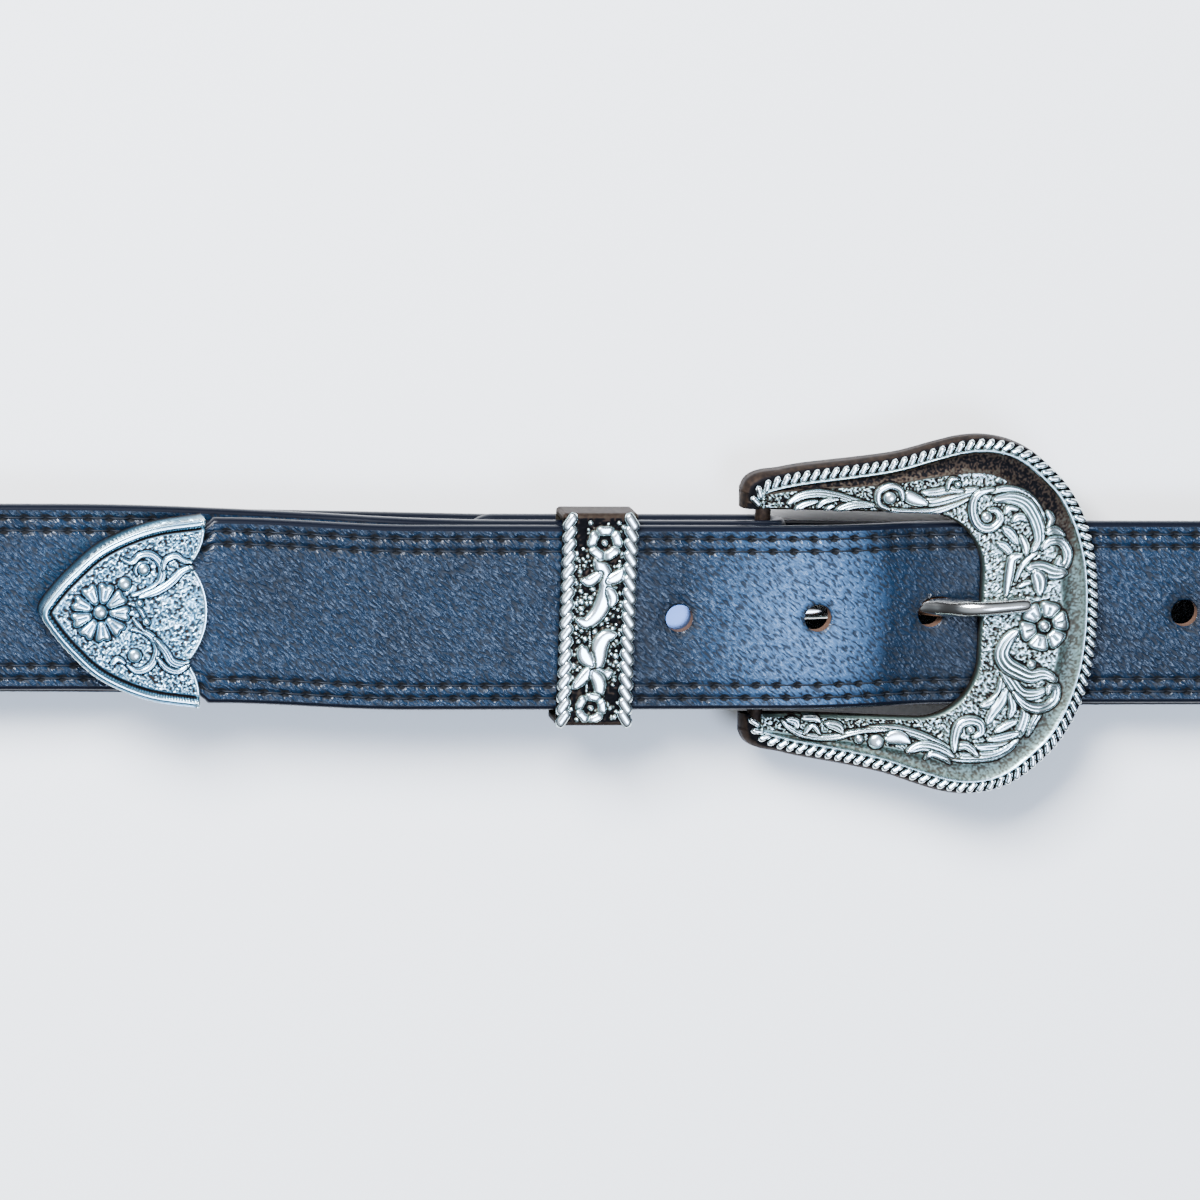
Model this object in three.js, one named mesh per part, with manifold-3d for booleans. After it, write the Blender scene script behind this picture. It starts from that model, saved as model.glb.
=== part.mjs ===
// Western leather belt, buckled into a loop that lies face up on its own rear half.
// X runs along the belt, Y across it, Z up. Sizes are millimetres.
import * as THREE from 'three';
import { mergeVertices } from 'three/addons/utils/BufferGeometryUtils.js';
import Module from 'manifold-3d';

const wasm = await Module();
wasm.setup();

// Strap
const STRAP_WIDTH = 38;
const LEATHER = 3;
const EDGE_BEVEL = 0.6;
const WAIST_LENGTH = 914;
const HOLE_RADIUS = 2.8;
const HOLE_OFFSETS = [0, 25, 53.7, -26.8, -53.6];
const PRONG_HOLE_X = 68.2;
const TURN_BACK_END_X = -28.3;
const TURN_BACK_CORNER = 6;

// Heights of the strap's middle line in each layer
const REAR_Z = LEATHER / 2;
const TURN_BACK_Z = 10.5;
const DROOP_Z = 16;
const UNDER_BOW_Z = 15;

// Bar and fold
const BAR_X = 33;
const BAR_RADIUS = 1.6;
const GAP = 0.3;
const FOLD_RADIUS = BAR_RADIUS + GAP + LEATHER / 2;
const BAR_Z = TURN_BACK_Z + FOLD_RADIUS;
const FRONT_Z = BAR_Z + FOLD_RADIUS;
const OVERLAP_Z = FRONT_Z + LEATHER + GAP;
const SLOT_WIDTH = 7;
const SLOT_START_X = 24;

// Bends of the loop's two ends
const BEND_OUT_RADIUS = 30;
const BEND_RADIUS = 21;
const BEND_STEPS = 20;
const DROOP_START_X = -36;
const DROOP_RUN = 30;
const RISE_START_X = 77.5;
const RISE_RUN = 39;
const REAR_RIGHT_Y = -3.2;
const REAR_LEFT_Y = 0;
const REAR_TURN_X = 110;
const REAR_TURN_RUN = 240;
const LEFT_DRIFT_Y = 3.3;
const FRONT_DRIFT_Y = 0.4;
const TIP_SHIFT_Y = 1.5;
const TIP_DRIFT_START_X = -40;
const TIP_DRIFT_RUN = 40;

// Buckle frame
const FRAME_UNDER_LEG = 12.4;
const FRAME_UNDER_BOW = 16.8;
const FRAME_RAMP_START_X = 31;
const FRAME_RAMP_END_X = 78;
const FRAME_THICKNESS = 3.2;
const CHANNEL_DEPTH = 0.6;
const RIM_WIDTH = 2.5;
const ROPE_PITCH = 3.2;
const OPENING_HALF = 21.3;
const OPENING_LEFT_X = 30.7;
const OPENING_RIGHT_X = 78.2;
const OPENING_CORNER = 12.5;
const RELIEF = 0.8;

// Keeper
const KEEPER_LEFT_X = -10;
const KEEPER_RIGHT_X = 5.4;
const KEEPER_HALF_HEIGHT = 22;
const KEEPER_SIDE = 1.6;
const KEEPER_FRONT = 1.3;
const KEEPER_BACK = 1.1;
const KEEPER_CORNER = 1.2;
const KEEPER_ROPE_WIDTH = 2.5;
const KEEPER_ROPE_PITCH = 3.1;

// Belt tip
const TIP_WALL = 1.2;
const TIP_PLATE = 1.5;
const TIP_BACK_PLATE = 0.9;
const TIP_RIM_WIDTH = 1.9;

// Prong
const PRONG_RING_OUTER = 3.5;
const PRONG_RING_WIDTH = 5.2;
const PRONG_ROOM = 0.35;

// Snaps
const SNAP_XS = [16.4, -18];
const SNAP_CAP_RADIUS = 5.8;
const SNAP_POST_RADIUS = 1.9;
const SNAP_HOLE_RADIUS = 2.2;
const SNAP_CAP_THICKNESS = 0.8;
const SNAP_CAP_FLAT = 0.8;
const SNAP_SOCKET_RADIUS = 4.6;
const SNAP_SOCKET_HEIGHT = 1.1;
const SNAP_STUD_RADIUS = 4.8;
const SNAP_STUD_HEAD_RADIUS = 2.2;
const SNAP_FLANGE = 0.5;

const leather = new THREE.MeshStandardMaterial({ color: 0x1b222d, roughness: 0.5, metalness: 0 });
const silver = new THREE.MeshStandardMaterial({ color: 0xa9adac, roughness: 0.35, metalness: 1 });
const polished = new THREE.MeshStandardMaterial({ color: 0xc9cbcb, roughness: 0.18, metalness: 1 });

const belt = new THREE.Group();

// Solids and meshes

function toSolid(geometry) {
  const bare = geometry.clone();
  bare.deleteAttribute('normal');
  bare.deleteAttribute('uv');
  const merged = mergeVertices(bare, 1e-4);
  const vertProperties = Float32Array.from(merged.attributes.position.array);
  const triVerts = Uint32Array.from(merged.index.array);
  return new wasm.Manifold(new wasm.Mesh({ numProp: 3, vertProperties, triVerts }));
}

function toGeometry(solid) {
  const { vertProperties, triVerts } = solid.getMesh();
  const geometry = new THREE.BufferGeometry();
  geometry.setAttribute('position', new THREE.BufferAttribute(vertProperties, 3));
  geometry.setIndex(new THREE.BufferAttribute(triVerts, 1));
  geometry.computeVertexNormals();
  return geometry;
}

function addPiece(name, solid, material) {
  const mesh = new THREE.Mesh(toGeometry(solid), material);
  mesh.name = name;
  belt.add(mesh);
}

function joined(solids) {
  return solids.reduce((whole, solid) => whole.add(solid));
}

// Skin over a row of rings with the same number of points, with flat fans for its two ends
function loft(rings) {
  const size = rings[0].length;
  const points = rings.flat();
  const middleOf = (ring) => ring.reduce((sum, p) => sum.add(p), new THREE.Vector3()).divideScalar(size);
  const first = points.push(middleOf(rings[0])) - 1;
  const last = points.push(middleOf(rings.at(-1))) - 1;
  const faces = [];
  for (let k = 0; k + 1 < rings.length; k += 1) {
    for (let i = 0; i < size; i += 1) {
      const a = k * size + i;
      const b = k * size + (i + 1) % size;
      faces.push(a, b, b + size, a, b + size, a + size);
    }
  }
  const endStart = (rings.length - 1) * size;
  for (let i = 0; i < size; i += 1) {
    const next = (i + 1) % size;
    faces.push(first, next, i);
    faces.push(last, endStart + i, endStart + next);
  }
  const geometry = new THREE.BufferGeometry().setFromPoints(points);
  geometry.setIndex(faces);
  const solid = toSolid(geometry);
  if (solid.volume() > 0) {
    return solid;
  }
  geometry.setIndex(faces.reverse());
  return toSolid(geometry);
}

function disc(radius, z0, z1, x, y, sides = 20) {
  const geometry = new THREE.CylinderGeometry(radius, radius, z1 - z0, sides);
  geometry.rotateX(Math.PI / 2);
  geometry.translate(x, y, (z0 + z1) / 2);
  return toSolid(geometry);
}

function block(x0, x1, y0, y1, z0, z1) {
  const geometry = new THREE.BoxGeometry(x1 - x0, y1 - y0, z1 - z0);
  geometry.translate((x0 + x1) / 2, (y0 + y1) / 2, (z0 + z1) / 2);
  return toSolid(geometry);
}

function plate(shape, z0, z1) {
  const extent = { depth: z1 - z0, bevelEnabled: false, curveSegments: 4 };
  const geometry = new THREE.ExtrudeGeometry(shape, extent);
  geometry.translate(0, 0, z0);
  return toSolid(geometry);
}

// Raised ornament, shared by the frame, the keeper and the tip

function smoothCurve(points) {
  return new THREE.CatmullRomCurve3(points.map(([x, y]) => new THREE.Vector3(x, y, 0)), false, 'centripetal');
}

// A rib that follows chosen points, with a ridge and a tapered end
function rib(points, width, height, groundAt, steps = 2) {
  const curve = smoothCurve(points);
  const count = (points.length - 1) * steps;
  const sink = 0.5;
  const rings = [];
  for (let i = 0; i <= count; i += 1) {
    const t = i / count;
    const centre = curve.getPoint(t);
    const along = curve.getTangent(t);
    const half = width / 2 * (0.3 + 0.7 * Math.sin(Math.PI * (0.12 + 0.76 * t)));
    const ground = groundAt(centre.x, centre.y);
    const side = (offset, z) => new THREE.Vector3(
      centre.x - along.y * offset, centre.y + along.x * offset, ground + z);
    rings.push([side(half, -sink), side(-half, -sink), side(-half * 0.3, height), side(half * 0.3, height)]);
  }
  return loft(rings);
}

function ribs(table, groundAt) {
  return table.map(({ width, height, through }) => rib(through, width, height, groundAt));
}

// A dome over a circle or a petal's outline
function dome(x, y, lengthRadius, widthRadius, turn, height, groundAt, sides = 8) {
  const ground = groundAt(x, y);
  const levels = [[1.1, -0.5], [0.65, height]];
  const rings = levels.map(([size, z]) => Array.from({ length: sides }, (_, i) => {
    const angle = 2 * Math.PI * i / sides;
    const u = Math.cos(angle) * lengthRadius * size;
    const v = Math.sin(angle) * widthRadius * size;
    return new THREE.Vector3(x + u * Math.cos(turn) - v * Math.sin(turn),
      y + u * Math.sin(turn) + v * Math.cos(turn), ground + z);
  }));
  return loft(rings);
}

function flower(x, y, radius, petals, groundAt) {
  const button = dome(x, y, radius * 0.24, radius * 0.24, 0, RELIEF * 1.1, groundAt);
  const solids = [button];
  for (let i = 0; i < petals; i += 1) {
    const turn = 2 * Math.PI * (i + 0.5) / petals;
    const reach = radius * 0.64;
    const width = reach * Math.tan(Math.PI / petals) * 0.9;
    solids.push(dome(x + reach * Math.cos(turn), y + reach * Math.sin(turn), radius * 0.36, width, turn,
      RELIEF, groundAt, 5));
  }
  return joined(solids);
}

// A twisted rope laid along a line: crests and valleys slant across it
function rope(curve, length, pitch, radius, slant, heightAt) {
  const strands = Math.round(length / pitch);
  const sides = 5;
  const rings = [];
  for (let i = 0; i <= 2 * strands; i += 1) {
    const t = i / (2 * strands);
    const centre = curve.getPointAt(t);
    const along = curve.getTangentAt(t);
    const size = radius * (i % 2 === 0 ? 0.78 : 1);
    const ring = Array.from({ length: sides }, (_, k) => {
      const angle = 2 * Math.PI * (k + 0.25) / sides;
      const across = Math.cos(angle) * size;
      const lean = i === 0 || i === 2 * strands ? 0 : slant * across;
      return new THREE.Vector3(centre.x - along.y * across + along.x * lean,
        centre.y + along.x * across + along.y * lean,
        heightAt(centre.x, centre.y) + Math.sin(angle) * size);
    });
    rings.push(ring);
  }
  return loft(rings);
}

// Strap: its middle line is traced in the XZ plane as lines and arcs

class Trace {
  constructor(x, z) {
    this.x = x;
    this.z = z;
    this.heading = 0;
    this.length = 0;
    this.stations = [];
    this.mark();
  }

  mark() {
    this.stations.push({ x: this.x, z: this.z, heading: this.heading, s: this.length });
  }

  line(length, steps = 1) {
    for (let i = 0; i < steps; i += 1) {
      this.x += Math.cos(this.heading) * length / steps;
      this.z += Math.sin(this.heading) * length / steps;
      this.length += length / steps;
      this.mark();
    }
  }

  arc(radius, angle, steps) {
    const side = Math.sign(angle);
    const step = angle / steps;
    for (let i = 0; i < steps; i += 1) {
      const next = this.heading + step;
      this.x += side * radius * (Math.sin(next) - Math.sin(this.heading));
      this.z -= side * radius * (Math.cos(next) - Math.cos(this.heading));
      this.heading = next;
      this.length += radius * Math.abs(step);
      this.mark();
    }
  }

  // Two arcs that shift a level line by a height, over a run, and leave it level
  sway(run, height, turn) {
    const radius = (run * run + height * height) / (4 * height);
    const angle = Math.asin(run / (2 * radius));
    this.arc(radius, turn * angle, 4);
    this.arc(radius, -turn * angle, 4);
  }
}

function bendAngle(frontZ) {
  const drop = frontZ + BEND_OUT_RADIUS - BEND_RADIUS - REAR_Z;
  return Math.acos(drop / (BEND_OUT_RADIUS + BEND_RADIUS));
}

function bendReach(angle) {
  return (BEND_OUT_RADIUS + BEND_RADIUS) * Math.sin(angle);
}

// With the bends given, the level stretches take up what is left of the waist length
function traceStrap(levelHalf) {
  const trace = new Trace(TURN_BACK_END_X, TURN_BACK_Z);
  trace.line(2, 1);
  trace.line(TURN_BACK_CORNER - 2, 2);
  trace.line(BAR_X - trace.x, 4);
  trace.foldStart = trace.length;
  trace.arc(FOLD_RADIUS, Math.PI, 12);
  trace.line(trace.x - DROOP_START_X, 5);
  trace.sway(DROOP_RUN, FRONT_Z - DROOP_Z, 1);
  trace.line(trace.x + levelHalf, 8);
  const leftAngle = bendAngle(DROOP_Z);
  trace.arc(BEND_OUT_RADIUS, -leftAngle, 8);
  trace.arc(BEND_RADIUS, Math.PI + leftAngle, BEND_STEPS);
  trace.heading = 0;
  trace.rearStart = trace.length;
  trace.line(levelHalf + bendReach(leftAngle) - trace.x, 4);
  trace.rearEnd = trace.length;
  const rightAngle = bendAngle(UNDER_BOW_Z);
  trace.arc(BEND_RADIUS, Math.PI + rightAngle, BEND_STEPS);
  trace.arc(BEND_OUT_RADIUS, -rightAngle, 8);
  trace.heading = Math.PI;
  trace.line(trace.x - RISE_START_X, 5);
  trace.sway(RISE_RUN, OVERLAP_Z - UNDER_BOW_Z, -1);
  const leatherEnd = TIP_OUTLINE.at(-1).x + TIP_WALL + 4 * GAP;
  trace.line(trace.x - TIP_LEATHER_START_X, 6);
  trace.taperStart = trace.length;
  trace.line(trace.x - leatherEnd, 10);
  return trace;
}

function lengthAt(trace, x, fromLength) {
  const stations = trace.stations.filter((station) => station.s >= fromLength);
  const next = stations.findIndex((station) => station.x <= x);
  const before = stations[next - 1];
  const after = stations[next];
  return before.s + (after.s - before.s) * (before.x - x) / (before.x - after.x);
}

function waistLength(trace) {
  return lengthAt(trace, PRONG_HOLE_X, trace.rearEnd + BEND_RADIUS * Math.PI) - trace.foldStart;
}

// Belt tip outline: an ogive that the leather's own point follows inside it
const TIP_CORNER_X = -81.5;
const TIP_LEATHER_START_X = TIP_CORNER_X + 5.5;
const TIP_HALF_HEIGHT = 19.3;
const TIP_OUTLINE = [
  { x: -81.5, y: 19.3 },
  { x: -94, y: 17.6 },
  { x: -103.4, y: 13.6 },
  { x: -109.7, y: 8.2 },
  { x: -114, y: 3.2 },
  { x: -115.6, y: 0 },
];
const TIP_SCALLOP = [
  { x: -84.5, y: 10 },
  { x: -80.6, y: 0 },
];

function mirrored(table) {
  const lower = table.slice(0, -1).reverse().map(({ x, y }) => ({ x, y: -y }));
  return [...table, ...lower];
}

function insetTip(amount) {
  const points = mirrored(TIP_OUTLINE).map(({ x, y }) => new THREE.Vector2(x, y));
  return points.map((point, i) => {
    const before = points[Math.max(i - 1, 0)];
    const after = points[Math.min(i + 1, points.length - 1)];
    const along = after.clone().sub(before).normalize();
    return new THREE.Vector2(point.x - along.y * amount, point.y + along.x * amount);
  });
}

// Half the width of the leather's point, which follows the shell's wall inside it
const leatherPoint = insetTip(TIP_WALL + 2 * GAP).slice(0, TIP_OUTLINE.length);

function pointHalfWidth(x) {
  const after = leatherPoint.findIndex((point) => point.x <= x);
  if (after === 0) {
    return leatherPoint[0].y;
  }
  const a = leatherPoint.at(after - 1);
  const b = leatherPoint.at(after);
  return a.y + (b.y - a.y) * (a.x - x) / (a.x - b.x);
}

let levelHalf = 170;
for (let round = 0; round < 4; round += 1) {
  levelHalf += (WAIST_LENGTH - waistLength(traceStrap(levelHalf))) / 4;
}
const trace = traceStrap(levelHalf);

function smoothStep(t) {
  const c = Math.min(Math.max(t, 0), 1);
  return c * c * (3 - 2 * c);
}

// How far the strap wanders across from its middle line
function driftAt(station) {
  const { s, x } = station;
  const turned = smoothStep((REAR_TURN_X - x) / REAR_TURN_RUN);
  const rear = REAR_RIGHT_Y + (REAR_LEFT_Y - REAR_RIGHT_Y) * turned;
  const frontEnd = trace.foldStart + Math.PI * FOLD_RADIUS;
  if (s < frontEnd) {
    return FRONT_DRIFT_Y;
  }
  if (s < trace.rearStart) {
    const rise = smoothStep((-20 - x) / 90);
    const front = FRONT_DRIFT_Y + (LEFT_DRIFT_Y - FRONT_DRIFT_Y) * rise;
    const bend = smoothStep((s - (trace.rearStart - 120)) / 120);
    return front + (rear - front) * bend;
  }
  if (s < trace.rearEnd) {
    return rear;
  }
  const end = TIP_SHIFT_Y * smoothStep((TIP_DRIFT_START_X - x) / TIP_DRIFT_RUN);
  return rear * (1 - smoothStep((s - trace.rearEnd) / 120)) + end;
}

function halfWidthAt(station) {
  const half = STRAP_WIDTH / 2;
  if (station.s > trace.taperStart) {
    return Math.min(half, pointHalfWidth(station.x));
  }
  if (station.s < TURN_BACK_CORNER) {
    const c = TURN_BACK_CORNER - station.s;
    return half - TURN_BACK_CORNER + Math.sqrt(TURN_BACK_CORNER ** 2 - c * c);
  }
  return half;
}

function strapRing(station) {
  const half = halfWidthAt(station);
  const drift = driftAt(station);
  const up = { x: -Math.sin(station.heading), z: Math.cos(station.heading) };
  const at = (across, out) => new THREE.Vector3(
    station.x + up.x * out, drift + across, station.z + up.z * out);
  const t = LEATHER / 2;
  const b = EDGE_BEVEL;
  return [at(half - b, -t), at(half, 0), at(half - b, t), at(b - half, t), at(-half, 0), at(b - half, -t)];
}

const prongHoleS = trace.foldStart + waistLength(trace);

function stationAt(s) {
  const after = trace.stations.findIndex((station) => station.s >= s);
  const a = trace.stations[after - 1];
  const b = trace.stations[after];
  const t = (s - a.s) / (b.s - a.s);
  return {
    s,
    x: a.x + (b.x - a.x) * t,
    z: a.z + (b.z - a.z) * t,
    heading: a.heading + (b.heading - a.heading) * t,
  };
}

function holeCutter(offset) {
  const station = stationAt(prongHoleS + offset);
  const geometry = new THREE.CylinderGeometry(HOLE_RADIUS, HOLE_RADIUS, LEATHER + 2, 14);
  geometry.rotateX(Math.PI / 2);
  geometry.rotateY(Math.PI - station.heading);
  geometry.translate(station.x, driftAt(station), station.z);
  return toSolid(geometry);
}

// Prong: a round bar from its loop, up through the strap and onto the bow

const PRONG_PATH = [
  { x: 36, y: 0, z: BAR_Z, radius: 2 },
  { x: 46, y: 0.2, z: 13.7, radius: 2 },
  { x: 57, y: 0.7, z: 13.5, radius: 2 },
  { x: 63.5, y: 1.1, z: 14.2, radius: 1.95 },
  { x: 69.2, y: 1.4, z: 17.2, radius: 1.9 },
  { x: 74, y: 1.8, z: 20.4, radius: 1.85 },
  { x: 79, y: 2.2, z: 21.9, radius: 1.6 },
  { x: 84, y: 2.6, z: 21.9, radius: 1.55 },
  { x: 87, y: 2.85, z: 21.8, radius: 1.4 },
  { x: 87.8, y: 2.9, z: 21.7, radius: 0.9 },
];

function prongShank(growth) {
  const curve = new THREE.CatmullRomCurve3(PRONG_PATH.map((p) => new THREE.Vector3(p.x, p.y, p.z)));
  const steps = 2;
  const count = (PRONG_PATH.length - 1) * steps;
  const sides = 10;
  const rings = [];
  for (let i = 0; i <= count; i += 1) {
    const t = i / count;
    const centre = curve.getPoint(t);
    const along = curve.getTangent(t);
    const row = Math.min(Math.floor(i / steps), PRONG_PATH.length - 2);
    const part = i / steps - row;
    const radius = PRONG_PATH[row].radius * (1 - part) + PRONG_PATH[row + 1].radius * part + growth;
    const side = new THREE.Vector3(-along.y, along.x, 0).normalize();
    const up = new THREE.Vector3().crossVectors(along, side);
    rings.push(Array.from({ length: sides }, (_, k) => {
      const angle = 2 * Math.PI * k / sides;
      return centre.clone().addScaledVector(side, Math.cos(angle) * radius)
        .addScaledVector(up, Math.sin(angle) * radius);
    }));
  }
  return loft(rings);
}

function barCylinder(radius, width, sides) {
  const geometry = new THREE.CylinderGeometry(radius, radius, width, sides);
  geometry.translate(BAR_X, 0, BAR_Z);
  return toSolid(geometry);
}

function makeProng() {
  const loop = barCylinder(PRONG_RING_OUTER, PRONG_RING_WIDTH, 20);
  const bore = barCylinder(BAR_RADIUS + GAP, PRONG_RING_WIDTH + 2, 16);
  return loop.add(prongShank(0)).subtract(bore);
}

addPiece('prong', makeProng(), polished);

function makeStrap() {
  const ribbon = loft(trace.stations.map(strapRing));
  const holes = HOLE_OFFSETS.map(holeCutter);
  const slotTop = FRONT_Z + LEATHER / 2 + GAP / 2;
  const slot = block(SLOT_START_X, BAR_X + 2 * FOLD_RADIUS, -SLOT_WIDTH / 2, SLOT_WIDTH / 2,
    TURN_BACK_Z - LEATHER, slotTop);
  const snapHoles = SNAP_XS.flatMap((x) => {
    const top = FRONT_Z + LEATHER / 2;
    const through = disc(SNAP_HOLE_RADIUS, TURN_BACK_Z - LEATHER, top + GAP / 2, x, 0);
    const recess = disc(SNAP_CAP_RADIUS + GAP, top - SNAP_CAP_THICKNESS - GAP, top + GAP / 2, x, 0);
    return [through, recess];
  });
  const cuts = [...holes, slot, ...snapHoles, prongShank(PRONG_ROOM)];
  return cuts.reduce((strap, cut) => strap.subtract(cut), ribbon);
}

addPiece('strap', makeStrap(), leather);

// Snaps that close the turn-back

function lathed(profile, x, z) {
  const geometry = new THREE.LatheGeometry(profile.map(([r, h]) => new THREE.Vector2(r, h)), 12);
  geometry.rotateX(Math.PI / 2);
  geometry.translate(x, 0, z);
  return toSolid(geometry);
}

function closedLathe(profile, x, z) {
  const forward = lathed(profile, x, z);
  return forward.volume() > 0 ? forward : lathed([...profile].reverse(), x, z);
}

SNAP_XS.forEach((x, index) => {
  const top = FRONT_Z + LEATHER / 2;
  const shoulder = top - SNAP_CAP_THICKNESS;
  const under = FRONT_Z - LEATHER / 2 - GAP;
  const socketLow = under - SNAP_SOCKET_HEIGHT;
  const capProfile = [
    [0, top], [SNAP_CAP_RADIUS * SNAP_CAP_FLAT, top], [SNAP_CAP_RADIUS, (top + shoulder) / 2],
    [SNAP_CAP_RADIUS, shoulder], [SNAP_POST_RADIUS, shoulder], [SNAP_POST_RADIUS, under],
    [SNAP_SOCKET_RADIUS, under], [SNAP_SOCKET_RADIUS, socketLow], [0, socketLow],
  ];
  addPiece(`snap_cap_${index + 1}`, closedLathe(capProfile, x, 0), silver);
  const over = TURN_BACK_Z + LEATHER / 2 + GAP;
  const below = TURN_BACK_Z - LEATHER / 2 - GAP;
  const studTop = socketLow - GAP;
  const studProfile = [
    [0, studTop], [SNAP_STUD_HEAD_RADIUS, studTop], [SNAP_SOCKET_RADIUS, over + SNAP_FLANGE],
    [SNAP_SOCKET_RADIUS, over], [SNAP_POST_RADIUS, over], [SNAP_POST_RADIUS, below],
    [SNAP_STUD_RADIUS, below], [SNAP_STUD_RADIUS, below - SNAP_FLANGE], [0, below - SNAP_CAP_THICKNESS],
  ];
  addPiece(`snap_stud_${index + 1}`, closedLathe(studProfile, x, 0), silver);
});

// Buckle frame: inner and outer outlines walked together, from one leg's end round the bow to the other

const FRAME_OUTLINE = [
  { x: 31.2, y: 26 },
  { x: 33, y: 27.2 },
  { x: 41.6, y: 29.2 },
  { x: 51.5, y: 30.7 },
  { x: 60, y: 32.3 },
  { x: 67.4, y: 34.6 },
  { x: 73, y: 36.1 },
  { x: 78, y: 36.6 },
  { x: 83, y: 35.7 },
  { x: 87.2, y: 33.4 },
  { x: 91.5, y: 29.6 },
  { x: 95.3, y: 25.2 },
  { x: 98.9, y: 19.2 },
  { x: 101.3, y: 12.2 },
  { x: 102.4, y: 5.6 },
  { x: 102.6, y: 0 },
];
const CORNER_STARTS = { outer: 0.42, inner: 0.552 };
const CORNER_ENDS = { outer: 0.81, inner: 0.861 };

const outerCurve = new THREE.CatmullRomCurve3(
  mirrored(FRAME_OUTLINE).map(({ x, y }) => new THREE.Vector3(x, y, 0)), false, 'centripetal');
outerCurve.arcLengthDivisions = 800;

const openingStraight = OPENING_RIGHT_X - OPENING_CORNER - OPENING_LEFT_X;
const openingRise = OPENING_HALF - OPENING_CORNER;

function openingPoint(fraction) {
  const turn = Math.PI / 2 * OPENING_CORNER;
  const d = fraction * (openingStraight + turn + openingRise);
  if (d < openingStraight) {
    return new THREE.Vector2(OPENING_LEFT_X + d, OPENING_HALF);
  }
  if (d < openingStraight + turn) {
    const angle = Math.PI / 2 - (d - openingStraight) / OPENING_CORNER;
    return new THREE.Vector2(OPENING_RIGHT_X - OPENING_CORNER + OPENING_CORNER * Math.cos(angle),
      openingRise + OPENING_CORNER * Math.sin(angle));
  }
  return new THREE.Vector2(OPENING_RIGHT_X, openingRise - (d - openingStraight - turn));
}

function openingFraction(outerFraction) {
  const knots = [[0, 0], [CORNER_STARTS.outer, CORNER_STARTS.inner],
    [CORNER_ENDS.outer, CORNER_ENDS.inner], [1, 1]];
  const k = knots.findIndex(([outer]) => outer > outerFraction);
  if (k < 0) {
    return 1;
  }
  const [o0, i0] = knots[k - 1];
  const [o1, i1] = knots[k];
  return i0 + (i1 - i0) * (outerFraction - o0) / (o1 - o0);
}

function frameUnder(x) {
  const ramp = smoothStep((x - FRAME_RAMP_START_X) / (FRAME_RAMP_END_X - FRAME_RAMP_START_X));
  return FRAME_UNDER_LEG + (FRAME_UNDER_BOW - FRAME_UNDER_LEG) * ramp;
}

const frameGround = (x) => frameUnder(x) + FRAME_THICKNESS;

function frameRing(k, half) {
  const f = k <= half ? k / half : (2 * half - k) / half;
  const side = k <= half ? 1 : -1;
  const outer = outerCurve.getPointAt(k / (2 * half));
  const inner2 = openingPoint(openingFraction(f));
  const inner = new THREE.Vector3(inner2.x, side * inner2.y, 0);
  const across = inner.clone().sub(outer);
  const width = across.length();
  const channelEnd = Math.min(0.45 * width, 7.5);
  const profile = [
    { in: 0, up: 0 }, { in: 0, up: FRAME_THICKNESS - 0.2 }, { in: RIM_WIDTH, up: FRAME_THICKNESS - 0.2 },
    { in: (RIM_WIDTH + channelEnd) / 2, up: FRAME_THICKNESS - CHANNEL_DEPTH },
    { in: channelEnd, up: FRAME_THICKNESS }, { in: width - 0.4, up: FRAME_THICKNESS },
    { in: width, up: FRAME_THICKNESS - 0.4 }, { in: width, up: 0 },
  ];
  return profile.map((row) => {
    const point = outer.clone().addScaledVector(across, row.in / width);
    return new THREE.Vector3(point.x, point.y, frameUnder(point.x) + row.up);
  });
}

const FRAME_RIBS = [
  { width: 2.6, height: 0.9, through: [[41, 23.4], [45.5, 24.9], [50.5, 23.6]] },
  { width: 2.2, height: 0.8, through: [[49, 26], [53.5, 25.6], [58.3, 24.3]] },
  { width: 3.2, height: 0.9, through: [[57, 27.6], [64, 27.2], [71, 26.2], [75.4, 24.6]] },
  { width: 2.6, height: 1, through: [[78.8, 24.6], [82.5, 25.9], [87, 24.9], [90.6, 19.8]] },
  { width: 2.4, height: 0.9, through: [[90.4, 20], [89.4, 16], [87.6, 13.2]] },
  { width: 1.4, height: 0.8, through: [[84.2, 15], [83.4, 10], [84.4, 4.2]] },
  { width: 2, height: 0.8, through: [[81.2, 19.4], [83.2, 17.2], [83.8, 14.4]] },
  { width: 1.6, height: 0.9, through: [[86.6, -2.8], [83.4, -7.4], [83.2, -13.4]] },
  { width: 2.2, height: 0.9, through: [[83.6, -8.4], [87.4, -11.9], [91.6, -12.4], [95, -13.6]] },
  { width: 2.4, height: 0.9, through: [[84.4, -12.6], [87.8, -16.6], [92, -16.4]] },
  { width: 2, height: 0.8, through: [[84.4, -14.4], [88.6, -20], [92.4, -20]] },
  { width: 2.6, height: 0.9, through: [[83.2, -13.4], [81.4, -17.6], [80.4, -20.6]] },
  { width: 2.8, height: 0.9, through: [[88, -21.6], [83, -26.8], [76.5, -28.2], [68, -26.2], [59.4, -23.6]] },
  { width: 2.6, height: 0.9, through: [[39.8, -24.6], [44.6, -25.6], [51, -23.4]] },
  { width: 2.4, height: 0.8, through: [[55.5, -28], [62.4, -28.9], [69, -29.8]] },
];
const FRAME_DOMES = [
  { x: 78.7, y: 20.7, radius: 3 },
  { x: 58.3, y: 24.5, radius: 1.9 },
  { x: 93.4, y: 12.5, radius: 2 },
  { x: 91, y: 8, radius: 1.4 },
  { x: 88.9, y: -9.9, radius: 1 },
  { x: 77, y: -22.8, radius: 2.6 },
  { x: 56.6, y: -26, radius: 1.8 },
  { x: 93.6, y: -15.6, radius: 1.5 },
];

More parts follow.
